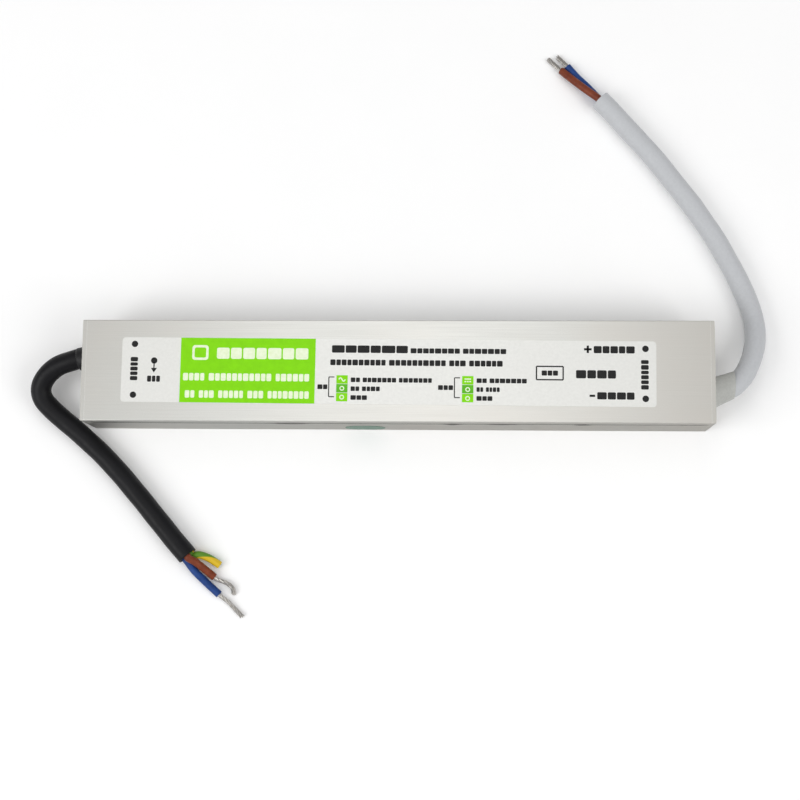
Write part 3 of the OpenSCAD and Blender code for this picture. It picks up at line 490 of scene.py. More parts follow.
class MeshParts:
    """Collects rings and prisms into one mesh, with a mapping around and along."""

    def __init__(self) -> None:
        """Starts with nothing in it."""
        self.points: list[Vector] = []
        self.faces: list[list[int]] = []
        self.maps: list[list[Flat]] = []

    def _face(self, corners: list[int], mapping: list[Flat]) -> None:
        """Adds one face with its mapping."""
        self.faces.append(corners)
        self.maps.append(mapping)

    def _plain_face(self, corners: list[int]) -> None:
        """Adds one face that needs no mapping."""
        self._face(corners, [(0.0, 0.0)] * len(corners))

    def rings(self, rings: Sequence[Sequence[Vector]], along: Sequence[float]) -> None:
        """Joins rings of points into a closed skin.

        Args:
            rings: Rings of equal length, in order from one closed end to the other.
            along: How far along each ring lies, for the mapping.
        """
        sides = len(rings[0])
        base = len(self.points)
        for ring in rings:
            self.points.extend(ring)
        for i in range(len(rings) - 1):
            low, high = base + i * sides, base + (i + 1) * sides
            for k in range(sides):
                after = (k + 1) % sides
                u, v = k / sides, (k + 1) / sides
                self._face(
                    [low + k, low + after, high + after, high + k],
                    [(u, along[i]), (v, along[i]), (v, along[i + 1]), (u, along[i + 1])],
                )
        top = base + (len(rings) - 1) * sides
        self._face([base + k for k in reversed(range(sides))], [(k / sides, along[0]) for k in range(sides)])
        self._face([top + k for k in range(sides)], [(k / sides, along[-1]) for k in range(sides)])

    def prism(self, low: Sequence[Vector], rise: Vector) -> None:
        """Adds a flat shape with a thickness.

        Args:
            low: The corners of the underside, anticlockwise from above.
            rise: From the underside to the top.
        """
        base, count = len(self.points), len(low)
        top = base + count
        self.points.extend(low)
        self.points.extend(p + rise for p in low)
        self._plain_face([base + k for k in reversed(range(count))])
        self._plain_face([top + k for k in range(count)])
        for k in range(count):
            after = (k + 1) % count
            self._plain_face([base + k, base + after, top + after, top + k])

    def build(self, name: str, material: bpy.types.Material, smooth_below: float = 40.0) -> bpy.types.Object:
        """Makes the object and lets it ride on the part.

        Args:
            name: The piece's name.
            material: Its material.
            smooth_below: The angle in degrees above which an edge stays sharp.

        Returns:
            The new object.
        """
        mesh = bpy.data.meshes.new(name)
        mesh.from_pydata([p * MM for p in self.points], [], self.faces)
        layer = mesh.uv_layers.new(name="Around and along")
        flat = [value for face in self.maps for corner in face for value in corner]
        layer.data.foreach_set("uv", flat)
        mesh.materials.append(material)
        mesh.shade_smooth()
        mesh.set_sharp_from_angle(angle=math.radians(smooth_below))
        piece = bpy.data.objects.new(name, mesh)
        bpy.context.scene.collection.objects.link(piece)
        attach(piece, BODY)
        return piece


def paint(node: str, material: bpy.types.Material) -> None:
    """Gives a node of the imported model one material.

    Args:
        node: The node's name.
        material: The material that takes the place of all others.
    """
    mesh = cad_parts[node].data
    mesh.materials.clear()
    mesh.materials.append(material)


def stand_in(piece: bpy.types.Object, node: str) -> None:
    """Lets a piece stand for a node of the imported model, in its slot and its finish.

    Args:
        piece: The piece that shows.
        node: The node that it stands for.
    """
    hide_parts(node)
    paint(node, piece.data.materials[0])


@dataclass
class Sleeve:
    """A round skin along a path with a hollow mouth at its far end, as cut insulation has.

    Attributes:
        bore: The radius of the hollow.
        depth: How deep the hollow goes.
        lip: The size of the rim's rounding.
        lobes: How many cores show faintly through the skin.
        lobe_height: Half the depth of the dips between them.
        lay: The length in which the cores wind once round.
        outer_round: How much of the lip the outer rounding's middle ring takes.
        inner_round: How much of the lip the inner rounding takes.
        rim_room: How many lips before the end the plain skin stops.
    """

    path: list[Vector]
    radius: float
    bore: float
    depth: float
    lip: float = 0.15
    sides: int = 32
    lobes: int = 0
    lobe_height: float = 0.0
    lay: float = 30.0
    outer_round: float = 0.3
    inner_round: float = 0.5
    rim_room: float = 1.5

    def add_to(self, parts: MeshParts) -> None:
        """Adds the skin to a mesh.

        Args:
            parts: The mesh that takes it.
        """
        places = stations(self.path)
        end = places[-1]
        skin_end = end.along - self.rim_room * self.lip
        outline = [(place, self.radius) for place in places[:-1] if place.along < skin_end]
        outline += self._mouth(end)
        rings = [self._ring(place, radius) for place, radius in outline]
        parts.rings(rings, [place.along for place, _ in outline])

    def _mouth(self, end: Station) -> list[tuple[Station, float]]:
        """Gives the rounded rim and the hollow behind it.

        Args:
            end: The place of the cut end.

        Returns:
            The place and the radius of each ring, from the outside to the hollow's end.
        """
        outer, inner = self.outer_round * self.lip, self.inner_round * self.lip
        return [
            (end.moved(-self.lip), self.radius),
            (end.moved(-outer), self.radius - outer),
            (end, self.radius - self.lip),
            (end, self.bore + inner),
            (end.moved(-inner), self.bore),
            (end.moved(-self.depth), self.bore),
        ]

    def _ring(self, place: Station, radius: float) -> list[Vector]:
        """Gives one ring, sunk a little between the cores that lie under the skin.

        Args:
            place: Where the ring lies.
            radius: Its radius over a core.

        Returns:
            The ring's points.
        """
        ring = []
        for angle in turns(self.sides):
            wave = math.cos(self.lobes * (angle + 2 * math.pi * place.along / self.lay))
            ring.append(place.rim(radius - self.lobe_height * (1 - wave), angle))
        return ring


@dataclass
class Strands:
    """Tinned strands twisted into one conductor: one in the middle and a layer around it.

    Attributes:
        diameter: The diameter over all strands.
        outer_count: How many strands lie around the middle one.
        across_count: How many strands lie side by side over the diameter.
        packing: How close the layer lies to the middle strand.
        lay: The length in which a strand winds once round.
        splay: How far the strands open at the cut end.
        splay_power: How late they open.
        cut_steps: How many path steps the strands' cut ends are spread over.
        tip_reach: How far a strand's tip goes past its last ring, in strand radii.
        tip_share: The tip's radius, in strand radii.
        lowest: The height that no strand goes below.
    """

    path: list[Vector]
    diameter: float
    outer_count: int = 6
    across_count: int = 3
    packing: float = 0.98
    lay: float = 9.0
    splay: float = 0.0
    splay_power: int = 4
    cut_steps: int = 4
    sides: int = 8
    tip_reach: float = 0.7
    tip_share: float = 0.5
    lowest: float = 0.01

    @property
    def strand_r(self) -> float:
        """Gives the radius of one strand."""
        return self.diameter / (2 * self.across_count)

    def add_to(self, parts: MeshParts) -> None:
        """Adds every strand to a mesh.

        Args:
            parts: The mesh that takes them.
        """
        places = stations(self.path)
        for index in range(self.outer_count + 1):
            steps = stations(self._line(places, index))
            tip = steps[-1].moved(self.strand_r * self.tip_reach)
            rings = [step.ring(self.strand_r, self.sides) for step in steps]
            rings.append(tip.ring(self.strand_r * self.tip_share, self.sides))
            parts.rings(rings, [step.along for step in [*steps, tip]])

    def _line(self, places: list[Station], index: int) -> list[Vector]:
        """Gives the middle line of one strand.

        Args:
            places: The stations of the conductor.
            index: Zero for the middle strand, then one by one around it.

        Returns:
            The strand's points, none of them below the floor.
        """
        reach = 0.0 if index == 0 else 2 * self.strand_r * self.packing
        start = 2 * math.pi * index / self.outer_count
        line = []
        for place in places[: len(places) - index % self.cut_steps]:
            fray = self.splay * (place.along / places[-1].along) ** self.splay_power
            point = place.rim(reach * (1 + fray), start + 2 * math.pi * place.along / self.lay)
            point.z = max(point.z, self.lowest + self.strand_r)
            line.append(point)
        return line


@dataclass
class Bush:
    """A moulded strain relief around a cable where it leaves its end plate.

    Attributes:
        node: The node that it stands for.
        finish: Its finish, whose name is also its slot.
        plate: The middle of its foot on the end plate.
        mouth: The middle of its far end.
        plate_half: Half the foot's width and half its height.
        mouth_half: Half the mouth's width and half its height.
        bore_half: Half the hollow's width and half its height.
        plate_deg: The direction that the foot faces.
        mouth_deg: The direction that the mouth faces.
        waist: How much the sides curve in.
        rim: The rim's rings: how far behind the mouth and how much narrower, in lips.
        depth: How deep the hollow goes.
    """

    name: str
    node: str
    finish: Finish
    plate: Point
    mouth: Point
    plate_half: Flat
    mouth_half: Flat
    bore_half: Flat
    plate_deg: float
    mouth_deg: float
    waist: float = 0.12
    lip: float = 0.3
    rim: tuple[Flat, ...] = ((1.0, 0.0), (0.3, 0.3), (0.0, 0.8))
    depth: float = 2.0
    sides: int = 48
    steps: int = 10

    def _ring(self, share: float, half: Flat) -> list[Vector]:
        """Gives one ring between the plate and the mouth.

        Args:
            share: Zero at the plate, one at the mouth.
            half: Half the ring's width and half its height.

        Returns:
            The ring's points.
        """
        heading = math.radians(self.plate_deg + share * (self.mouth_deg - self.plate_deg))
        across = Vector((-math.sin(heading), math.cos(heading), 0))
        middle = Vector(self.plate).lerp(Vector(self.mouth), share)
        angles = turns(self.sides)
        return [middle + half[0] * math.cos(a) * across + half[1] * math.sin(a) * UP for a in angles]

    def _half(self, share: float) -> Flat:
        """Gives half the width and half the height between the plate and the mouth.

        Args:
            share: Zero at the plate, one at the mouth.

        Returns:
            Half the width and half the height there, with a slight waist.
        """
        eased = share + self.waist * math.sin(math.pi * share)
        width, height = (a + eased * (b - a) for a, b in zip(self.plate_half, self.mouth_half, strict=True))
        return width, height

    def _behind(self, distance: float) -> float:
        """Gives the share at a distance behind the mouth."""
        return 1 - distance / (Vector(self.mouth) - Vector(self.plate)).length

    def build(self, shop: PaintShop) -> bpy.types.Object:
        """Builds the relief with a rounded, hollow mouth.

        Args:
            shop: Where the material comes from.

        Returns:
            The relief.
        """
        wide, tall = self.mouth_half
        rings = [self._ring(i / self.steps, self._half(i / self.steps)) for i in range(self.steps)]
        for behind, narrower in self.rim:
            half = (wide - narrower * self.lip, tall - narrower * self.lip)
            rings.append(self._ring(self._behind(behind * self.lip), half))
        rings.append(self._ring(1, self.bore_half))
        rings.append(self._ring(self._behind(self.depth), self.bore_half))
        parts = MeshParts()
        parts.rings(rings, [float(i) for i in range(len(rings))])
        relief = parts.build(self.name, shop.material(self.finish))
        stand_in(relief, self.node)
        return relief


class Insulation(Enum):
    """The finishes of the cores, by the conductor that they mark."""

    EARTH = Finish(
        "green_yellow_core", "#d8b62a", "#5a8a2a", roughness=0.42, specular=0.25, pattern=Pattern.STRIPES,
        scale=0.05,
    )
    BROWN = Finish("brown_core", "#824026", "#6a2f1d", roughness=0.44, specular=0.22, scale=700.0)
    BLUE = Finish("blue_core", "#224688", "#1b3871", roughness=0.44, specular=0.22, scale=700.0)


@dataclass
class Core:
    """One insulated core: where it leaves the sheath, the route it takes and its bare end.

    Attributes:
        node: The node that its insulation stands for.
        insulation: The insulation's finish, whose name is also its slot.
        across: How far it lies to the side of the sheath's middle.
        above: How far it lies above the sheath's middle.
        route: Its points past the sheath's end, each with its lift off the floor.
        tip_node: The node that its bare end stands for, if it has one.
        tip_route: The points of the bare end.
        splay: How far the strands open at the cut end.
    """

    node: str
    insulation: Insulation
    across: float
    above: float
    route: list[Point]
    tip_node: str = ""
    tip_route: list[Point] = field(default_factory=list)
    splay: float = 0.3


@dataclass
class CableRun:
    """One cable: its sheath along a route, its cores and their tinned ends.

    Attributes:
        node: The node that the sheath stands for.
        finish: The sheath's finish, whose name is also its slot.
        exit: Where the cable leaves the housing.
        inner_end: Where it ends inside the housing.
        lead_out: The first point outside.
        route: The points from there on, from the exit, each with its lift off the floor.
        length: The cable's length outside the housing; not used.
        bore: The radius of the sheath's hollow mouth.
        core_inset: How much of that mouth's depth a core reaches back.
        tip_hidden: How far the strands reach back into the insulation.
        tip_seat: How far behind the cut they still lie in the core's middle.
        cut_show: How far strands stand out of an end that has no bare wire.
    """

    node: str
    finish: Finish
    exit: Point
    inner_end: Point
    lead_out: Point
    route: list[Point]
    length: float
    bush: Bush
    cores: list[Core]
    stiffness: str = "limp"
    diameter: float = 6.2
    bore: float = 2.52
    mouth_depth: float = 4.0
    lobes: int = 3
    lobe_height: float = 0.03
    core_diameter: float = 2.3
    core_inset: float = 0.9
    core_mouth_depth: float = 2.4
    core_lip: float = 0.08
    core_sides: int = 24
    tip_diameter: float = 1.3
    tip_clearance: float = 0.04
    tip_hidden: float = 2.2
    tip_seat: float = 0.4
    cut_show: float = 0.05
    floor_gap: float = 0.01
    start_step: float = 1.0
    step: float = 0.8
    tin: Finish = Finish(
        "tinned_copper", "#c9c8c6", "#a9a29a", roughness=0.3, metallic=1.0, scale=2600.0, relief=0.01
    )

    def _laid(self, origin: Vector, route: Iterable[Point], diameter: float) -> list[Vector]:
        """Gives route points from an origin, each at its height above rest on the floor."""
        rest = diameter / 2 + self.floor_gap
        return [Vector((origin.x + x, origin.y + y, rest + lift)) for x, y, lift in route]

    def _line(self) -> list[Vector]:
        """Gives the points that the sheath's middle passes."""
        start = [Vector(self.inner_end), Vector(self.exit), Vector(self.lead_out)]
        return [*start, *self._laid(Vector(self.exit), self.route, self.diameter)]

    def build(self, shop: PaintShop) -> list[bpy.types.Object]:
        """Args:
            shop: Where the materials come from.

        Returns:
            The pieces, the sheath first.
        """
        points = self._line()
        path = spline(points, self.step)
        skin = Sleeve(
            path, self.diameter / 2, self.bore, self.mouth_depth,
            lobes=self.lobes, lobe_height=self.lobe_height,
        )
        parts = MeshParts()
        skin.add_to(parts)
        sheath = parts.build(f"{self.node}_sheath", shop.material(self.finish))
        stand_in(sheath, self.node)
        end, ahead = points[-1], (points[-1] - points[-2]).normalized()
        pieces = [piece for core in self.cores for piece in self._core(core, end, ahead, shop)]
        pieces.append(self.bush.build(shop))
        return [sheath, *pieces]

    def _core(self, core: Core, end: Vector, ahead: Vector, shop: PaintShop) -> list[bpy.types.Object]:
        """Builds one core and its conductor.

        Args:
            core: The core to build.
            end: The middle of the sheath's cut end.
            ahead: The direction of the sheath there.
            shop: Where the materials come from.

        Returns:
            The insulation and the conductor.
        """
        side = UP.cross(ahead).normalized()
        start = end + core.across * side + Vector((0, 0, core.above))
        inside = start - self.core_inset * self.mouth_depth * ahead
        laid = self._laid(end, core.route, self.core_diameter)
        path = spline([inside, start, start + self.start_step * ahead, *laid], self.step / 2)
        bare_r = self.tip_diameter / 2 + self.tip_clearance
        skin = Sleeve(
            path, self.core_diameter / 2, bare_r, self.core_mouth_depth,
            lip=self.core_lip, sides=self.core_sides,
        )
        parts = MeshParts()
        skin.add_to(parts)
        finish = core.insulation.value
        insulation = parts.build(f"{core.node}_insulation", shop.material(finish))
        stand_in(insulation, core.node)
        return [insulation, self._conductor(core, end, path, shop)]

    def _conductor(self, core: Core, end: Vector, path: list[Vector], shop: PaintShop) -> bpy.types.Object:
        """Builds the strands that show at a core's end.

        Args:
            core: The core that they belong to.
            end: The middle of the sheath's cut end.
            path: The core's own path.
            shop: Where the material comes from.

        Returns:
            The conductor.
        """
        cut, ahead = path[-1], (path[-1] - path[-2]).normalized()
        shown = [cut + self.cut_show * ahead]
        if core.tip_node:
            shown = [cut + self.start_step * ahead, *self._laid(end, core.tip_route, self.tip_diameter)]
        hidden = [cut - self.tip_hidden * ahead, cut - self.tip_seat * ahead]
        parts = MeshParts()
        Strands(spline([*hidden, *shown], self.step / 3), self.tip_diameter, splay=core.splay).add_to(parts)
        conductor = parts.build(f"{core.node}_strands", shop.material(self.tin))
        if core.tip_node:
            stand_in(conductor, core.tip_node)
        return conductor


def input_run() -> CableRun:
    """Gives the black mains cable with its three cores.

    Returns:
        The cable, ready to build.
    """
    wall_x, cable_y, cable_z = -HOUSING.half_length, HOUSING.input_y, HOUSING.cable_z
    lead = 3.0
    earth = Core(
        node="input_earth_core", insulation=Insulation.EARTH, across=1.16, above=-0.67, splay=0.0,
        route=[(3.4, 0.4, 1.6), (6.4, -0.6, 0.7), (9.5, -2.6, 0)],
    )
    live = Core(
        node="input_live_core", insulation=Insulation.BROWN, across=0, above=1.34,
        route=[(2.6, -1.8, 2.7), (5.3, -4, 1.3), (8, -6.2, 0.4)],
        tip_node="input_live_tip", tip_route=[(11.6, -7.9, 0.6), (13.4, -9.3, 0.3), (13.9, -11.4, 0)],
    )
    neutral = Core(
        node="input_neutral_core", insulation=Insulation.BLUE, across=-1.16, above=-0.67,
        route=[(2.2, -4.5, 1.2), (5.8, -8, 0.4), (9.5, -11.3, 0)],
        tip_node="input_neutral_tip", tip_route=[(12.8, -14, 0.2), (16.6, -17.9, 0)],
    )
    # The pale grey on the black bush's edges paints the highlight on its rim, together with rubbing wear.
    rubber = Finish(
        "black_rubber", "#0e0e10", "#141416", roughness=0.5, specular=0.35, scale=1600.0, relief=0.01,
        edge_wear_and_highlight="#8c8c8a",
    )
    bush = Bush(
        name="input_bush", node="input_grommet", finish=rubber,
        plate=(wall_x, 4.95, cable_z), mouth=(-96.1, 4.75, 9.95), plate_deg=180, mouth_deg=190,
        plate_half=(4.2, 4.2), mouth_half=(3.4, 3.4), bore_half=(3.12, 3.12),
    )
    sheath = Finish(
        "black_sheath", "#09090c", "#0f0f13", roughness=0.48, spread=0.06, specular=0.22, scale=1300.0,
        relief=0.015,
    )
    return CableRun(
        node="input_cable", finish=sheath, bush=bush, cores=[earth, live, neutral], length=95,
        exit=(wall_x, cable_y, cable_z),
        inner_end=(-HOUSING.cable_inner_x, cable_y, cable_z),
        lead_out=(wall_x - lead, cable_y, cable_z),
        route=[
            (-6, -0.8, 6.6), (-10, -2.2, 5.9), (-13.5, -4.8, 4.9), (-15.5, -8.1, 3.7), (-15.2, -11.5, 2.6),
            (-12.8, -14.6, 1.6), (-9, -17.9, 0.8), (-5, -21.2, 0.3), (0, -25.5, 0), (5, -30.2, 0),
            (10, -35.5, 0), (15, -41.2, 0), (20, -47.1, 0), (25, -53, 0), (30, -58.7, 0),
        ],
    )


def output_run() -> CableRun:
    """Gives the white low-voltage cable with its two cores.

    Returns:
        The cable, ready to build.
    """
    wall_x, cable_y, cable_z = HOUSING.half_length, HOUSING.output_y, HOUSING.cable_z
    lead, lean = 5.6, math.radians(16)
    positive = Core(
        node="output_positive_core", insulation=Insulation.BROWN, across=0.35, above=1.13,
        route=[(-4.8, 3.6, 2.4), (-8.5, 6.9, 1.5), (-11.7, 10.1, 0.3)],
        tip_node="output_positive_tip", tip_route=[(-15.8, 14.2, 0)],
    )
    negative = Core(
        node="output_negative_core", insulation=Insulation.BLUE, across=-0.35, above=-1.13,
        route=[(-3.7, 4.6, 0.6), (-7.1, 8.2, 0.1), (-9.8, 11.5, 0)],
        tip_node="output_negative_tip", tip_route=[(-13, 14.9, 0)],
    )
    rubber = Finish(
        "pale_rubber", "#b9bab6", "#b0b1ad", roughness=0.55, specular=0.3, scale=1500.0, relief=0.01
    )
    bush = Bush(
        name="output_bush", node="output_grommet", finish=rubber,
        plate=(wall_x, -5.05, cable_z), mouth=(99.4, -2.3, 9.75), plate_deg=0, mouth_deg=0, lip=0.2,
        plate_half=(4.8, 4.7), mouth_half=(4.12, 3.45), bore_half=(3.86, 3.15),
    )
    sheath = Finish(
        "white_sheath", "#c2c4c7", "#bdbfc2", roughness=0.55, spread=0.05, specular=0.25, scale=1200.0,
        relief=0.008,
    )
    return CableRun(
        node="output_cable", finish=sheath, bush=bush, cores=[positive, negative], length=121, lobes=2,
        exit=(wall_x, cable_y, cable_z),
        inner_end=(HOUSING.cable_inner_x, cable_y, cable_z),
        lead_out=(wall_x + lead * math.cos(lean), cable_y + lead * math.sin(lean), cable_z),
        route=[
            (8.2, 3.6, 6.2), (10.6, 6.7, 5.2), (12.4, 10.3, 4), (13.7, 14.2, 2.7), (14.4, 18.7, 1.4),
            (14.1, 23.5, 0.5), (12.8, 28.5, 0.1), (10.8, 33.5, 0), (8.5, 38.5, 0), (5.9, 43.5, 0),
            (3.2, 48.5, 0), (0, 53.5, 0), (-3.3, 58.5, 0), (-7, 63.5, 0), (-11, 68.8, 0), (-15, 74, 0),
            (-19.3, 79, 0), (-23.7, 84, 0), (-28, 89, 0), (-31.2, 92.3, 0),
        ],
    )


class Ink(Enum):
    """The inks of the label's print."""

    BLACK = Finish(
        "black_print", "#1b1b1b", "#262626", roughness=0.5, specular=0.2, scale=2400.0, relief=0.002
    )
    LIME = Finish(
        "lime_print", "#86dc0e", "#80d40e", roughness=0.42, specular=0.15, scale=500.0, relief=0.002
    )
    LEAF = Finish(
        "leaf_print", "#62bc26", "#5aae22", roughness=0.42, specular=0.15, scale=500.0, relief=0.002
    )
    PALE = Finish("pale_print", "#eef8dc", "#e2f0c8", roughness=0.45, scale=900.0, relief=0.002)


@dataclass(frozen=True)
class RatingBlock:
    """One rating: a bracket, a box of three cells and a row of blocks beside each cell.

    Attributes:
        left: The bracket's left edge.
        top: The bracket's upper end.
        lead: How many blocks stand before the bracket.
        rows: The length of each row and how many blocks its groups have.
        arm: How far the bracket's arms reach to the right.
        drop: The bracket's height.
        lead_size: The width and the height of a block before the bracket.
        lead_offset: The lower right corner of those blocks, from the bracket's upper left corner.
        box_offset: The upper left corner of the box, from the same corner.
        cell: The width and the height of a cell.
        row_offset: The lower left corner of a row, from the middle of its cell's left edge.
    """

    left: float
    top: float
    lead: int
    rows: tuple[tuple[float, tuple[int, ...]], ...]
    arm: float = 1.6
    drop: float = 5.8
    line: float = 0.3
    lead_size: Flat = (1.45, 1.4)
    lead_offset: Flat = (-0.4, -3.6)
    box_offset: Flat = (2.2, 0.55)
    cell: Flat = (3.3, 2.6)
    cell_gap: float = 0.12
    cell_corner: float = 0.08
    row_offset: Flat = (4.2, -0.7)
    row_height: float = 1.35

    def print_on(self, label: "LabelPrint") -> None:
        """Prints the bracket, the box and the rows.

        Args:
            label: The label that takes them.
        """
        right, low = self.left + self.arm, self.top - self.drop
        bracket = [(right, self.top), (self.left, self.top), (self.left, low), (right, low)]
        label.straights(Ink.BLACK, bracket, self.line)
        lead_width, lead_height = self.lead_size[0] * self.lead, self.lead_size[1]
        lead_corner = (self.left + self.lead_offset[0] - lead_width, self.top + self.lead_offset[1])
        label.row(Ink.BLACK, lead_corner, lead_width, lead_height, [self.lead])
        box_x, box_top = self.left + self.box_offset[0], self.top + self.box_offset[1]
        wide, tall = self.cell
        for i, (reach, groups) in enumerate(self.rows):
            high = box_top - i * tall
            ink = Ink.LEAF if i == 1 else Ink.LIME
            label.block(ink, (box_x, high - tall + self.cell_gap), (box_x + wide, high), self.cell_corner)
            row_corner = (box_x + self.row_offset[0], high - tall / 2 + self.row_offset[1])
            label.row(Ink.BLACK, row_corner, reach, self.row_height, groups)


@dataclass
class LabelPrint:
    """The print on the label film: fields of colour, plain signs and rows of blocks.

    Attributes:
        middle: The film's middle on the cover.
        skew_deg: How far the film is turned.
        film_half_w: Half the film's width.
        ink_lift: The gap between the film and the lowest ink.
        ink_rise: The step from one ink to an ink on top of it.
        ink_share: How much of that step an ink is thick.
        block_gap: The gap between blocks, in block heights.
        group_gap: The gap between groups of blocks, in block heights.
        block_shares: The widths of the blocks of a row, as they repeat.
        corner_share: The corner radius of a block in a row, in block heights.
        ring_steps: The number of steps in half a ring.
        parts: The mesh of each ink.
    """

    middle: Flat = (-2.5, -0.3)
    skew_deg: float = -0.35
    film_half_w: float = 9.58
    ink_lift: float = 0.004
    ink_rise: float = 0.012
    ink_share: float = 0.8
    block_gap: float = 0.13
    group_gap: float = 0.6
    block_shares: tuple[float, ...] = (1.0, 0.86, 0.94, 0.8, 1.06, 0.9)
    corner_share: float = 0.16
    corner_steps: int = 3
    dot_sides: int = 28
    ring_steps: int = 20
    dot_r: float = 0.95
    sign_line: float = 0.35
    frame_line: float = 0.4
    ring_r: float = 0.55
    ring_line: float = 0.3
    ratings: tuple[RatingBlock, ...] = (
        RatingBlock(left=-16.8, top=-1.7, lead=2, rows=((23.6, (2, 7, 7)), (8.5, (2, 4)), (4.8, (3,)))),
        RatingBlock(left=19.8, top=-1.6, lead=3, rows=((14.5, (2, 7)), (6.7, (2, 4)), (4.6, (3,)))),
    )
    parts: dict[Ink, MeshParts] = field(default_factory=dict)

    def _place(self, flat: Flat, level: int) -> Vector:
        """Puts a point of the label on the film's top.

        Args:
            flat: The point, from the film's middle.
            level: How many inks lie underneath.

        Returns:
            The place in the part's own frame.
        """
        turn = math.radians(self.skew_deg)
        x = self.middle[0] + flat[0] * math.cos(turn) - flat[1] * math.sin(turn)
        y = self.middle[1] + flat[0] * math.sin(turn) + flat[1] * math.cos(turn)
        return Vector((x, y, HOUSING.film_top + self.ink_lift + level * self.ink_rise))

    def shape(self, ink: Ink, outline: Sequence[Flat], level: int = 0) -> None:
        """Prints one filled outline.

        Args:
            ink: The ink to print with.
            outline: The corners, anticlockwise.
            level: How many inks lie underneath.
        """
        low = [self._place(flat, level) for flat in outline]
        rise = Vector((0, 0, self.ink_rise * self.ink_share))
        self.parts.setdefault(ink, MeshParts()).prism(low, rise)

    def block(self, ink: Ink, low: Flat, high: Flat, radius: float = 0.0, level: int = 0) -> None:
        """Prints a rectangle.

        Args:
            ink: The ink to print with.
            low: The lower left corner.
            high: The upper right corner.
            radius: The radius of the corners, zero for sharp ones.
            level: How many inks lie underneath.
        """
        if not radius:
            self.shape(ink, [low, (high[0], low[1]), high, (low[0], high[1])], level)
            return
        left, right = low[0] + radius, high[0] - radius
        bottom, top = low[1] + radius, high[1] - radius
        outline = []
        for quarter, corner in enumerate([(right, top), (left, top), (left, bottom), (right, bottom)]):
            shares = [step / self.corner_steps for step in range(self.corner_steps + 1)]
            outline += around(corner, radius, [math.pi / 2 * (quarter + share) for share in shares])
        self.shape(ink, outline, level)

    def dot(self, middle: Flat) -> None:
        """Prints a round black dot."""
        self.shape(Ink.BLACK, around(middle, self.dot_r, turns(self.dot_sides)))

    def stroke(self, ink: Ink, line: Sequence[Flat], width: float, level: int = 0) -> None:
        """Prints a line of even width through points.

        Args:
            ink: The ink to print with.
            line: The points that the line passes.
            width: The line's width.
            level: How many inks lie underneath.
        """
        left: list[Flat] = []
        right: list[Flat] = []
        for i, (x, y) in enumerate(line):
            before, after = line[max(i - 1, 0)], line[min(i + 1, len(line) - 1)]
            run = math.hypot(after[0] - before[0], after[1] - before[1])
            out = (-(after[1] - before[1]) / run * width / 2, (after[0] - before[0]) / run * width / 2)
            left.append((x + out[0], y + out[1]))
            right.append((x - out[0], y - out[1]))
        self.shape(ink, [*right, *reversed(left)], level)

    def straights(self, ink: Ink, line: Sequence[Flat], width: float) -> None:
        """Prints the straight lines from each point to the next."""
        for start, end in zip(line, line[1:], strict=False):
            self.stroke(ink, [start, end], width)

    def row(
        self, ink: Ink, low: Flat, reach: float, height: float, groups: Sequence[int], level: int = 0
    ) -> None:
        """Prints a row of blocks in groups.

        Args:
            ink: The ink to print with.
            low: The row's lower left corner.
            reach: The row's length.
            height: The height of a block.
            groups: How many blocks each group has.
            level: How many inks lie underneath.
        """
        for x, width in self._blocks(reach, height, groups):
            corner = (low[0] + x, low[1])
            self.block(ink, corner, (corner[0] + width, low[1] + height), self.corner_share * height, level)

    def column(self, ink: Ink, low: Flat, reach: float, height: float, groups: Sequence[int]) -> None:
        """Prints a row of blocks turned a quarter round, reading upwards.

        Args:
            ink: The ink to print with.
            low: The column's lower right corner.
            reach: The column's length.
            height: The height of a block, which goes across here.
            groups: How many blocks each group has.
        """
        for y, width in self._blocks(reach, height, groups):
            corner = (low[0] - height, low[1] + y)
            self.block(ink, corner, (low[0], corner[1] + width), self.corner_share * height)

    def _blocks(self, reach: float, height: float, groups: Sequence[int]) -> list[Flat]:
        """Shares a row's length out over its blocks.

        Args:
            reach: The row's length.
            height: The height of a block, which the gaps follow.
            groups: How many blocks each group has.

        Returns:
            The start and the width of each block.
        """
        owners = [group for group, count in enumerate(groups) for _ in range(count)]
        shares = [self.block_shares[i % len(self.block_shares)] for i in range(len(owners))]
        joined = sum(1 for a, b in zip(owners, owners[1:], strict=False) if a == b)
        inner = joined * self.block_gap * height
        outer = (len(groups) - 1) * self.group_gap * height
        unit = (reach - inner - outer) / sum(shares)
        x, blocks = 0.0, []
        for i, share in enumerate(shares):
            blocks.append((x, unit * share))
            same = i + 1 < len(owners) and owners[i + 1] == owners[i]
            x += unit * share + (self.block_gap if same else self.group_gap) * height
        return blocks

    def cell_ring(self, middle: Flat) -> None:
        """Prints a pale ring on a cell, as two halves.

        Args:
            middle: The ring's middle.
        """
        for half in (0, 1):
            angles = [math.pi * (half + k / self.ring_steps) for k in range(self.ring_steps + 1)]
            self.stroke(Ink.PALE, around(middle, self.ring_r, angles), self.ring_line, level=1)

    def _terminals(self) -> None:
        """Prints the marks beside both cable ends, and an arrow that points at its own row."""
        for middle in ((-74.3, 7.6), (-74.3, -7.5), (74.9, 7.4), (74.9, -7.2)):
            self.dot(middle)
        self.column(Ink.BLACK, low=(-73.2, -3.2), reach=6.9, height=2.2, groups=[5])
        self.column(Ink.BLACK, low=(75.8, -4.5), reach=8.6, height=2.2, groups=[6])
        arrow_x, head_half = -68.4, 0.9
        self.dot((arrow_x, 2.7))
        self.stroke(Ink.BLACK, [(arrow_x, 2.2), (arrow_x, 0.3)], self.sign_line)
        self.shape(Ink.BLACK, [(arrow_x, -0.9), (arrow_x + head_half, 0.5), (arrow_x - head_half, 0.5)])
        self.row(Ink.BLACK, low=(-70.3, -3.6), reach=3.8, height=1.8, groups=[3])

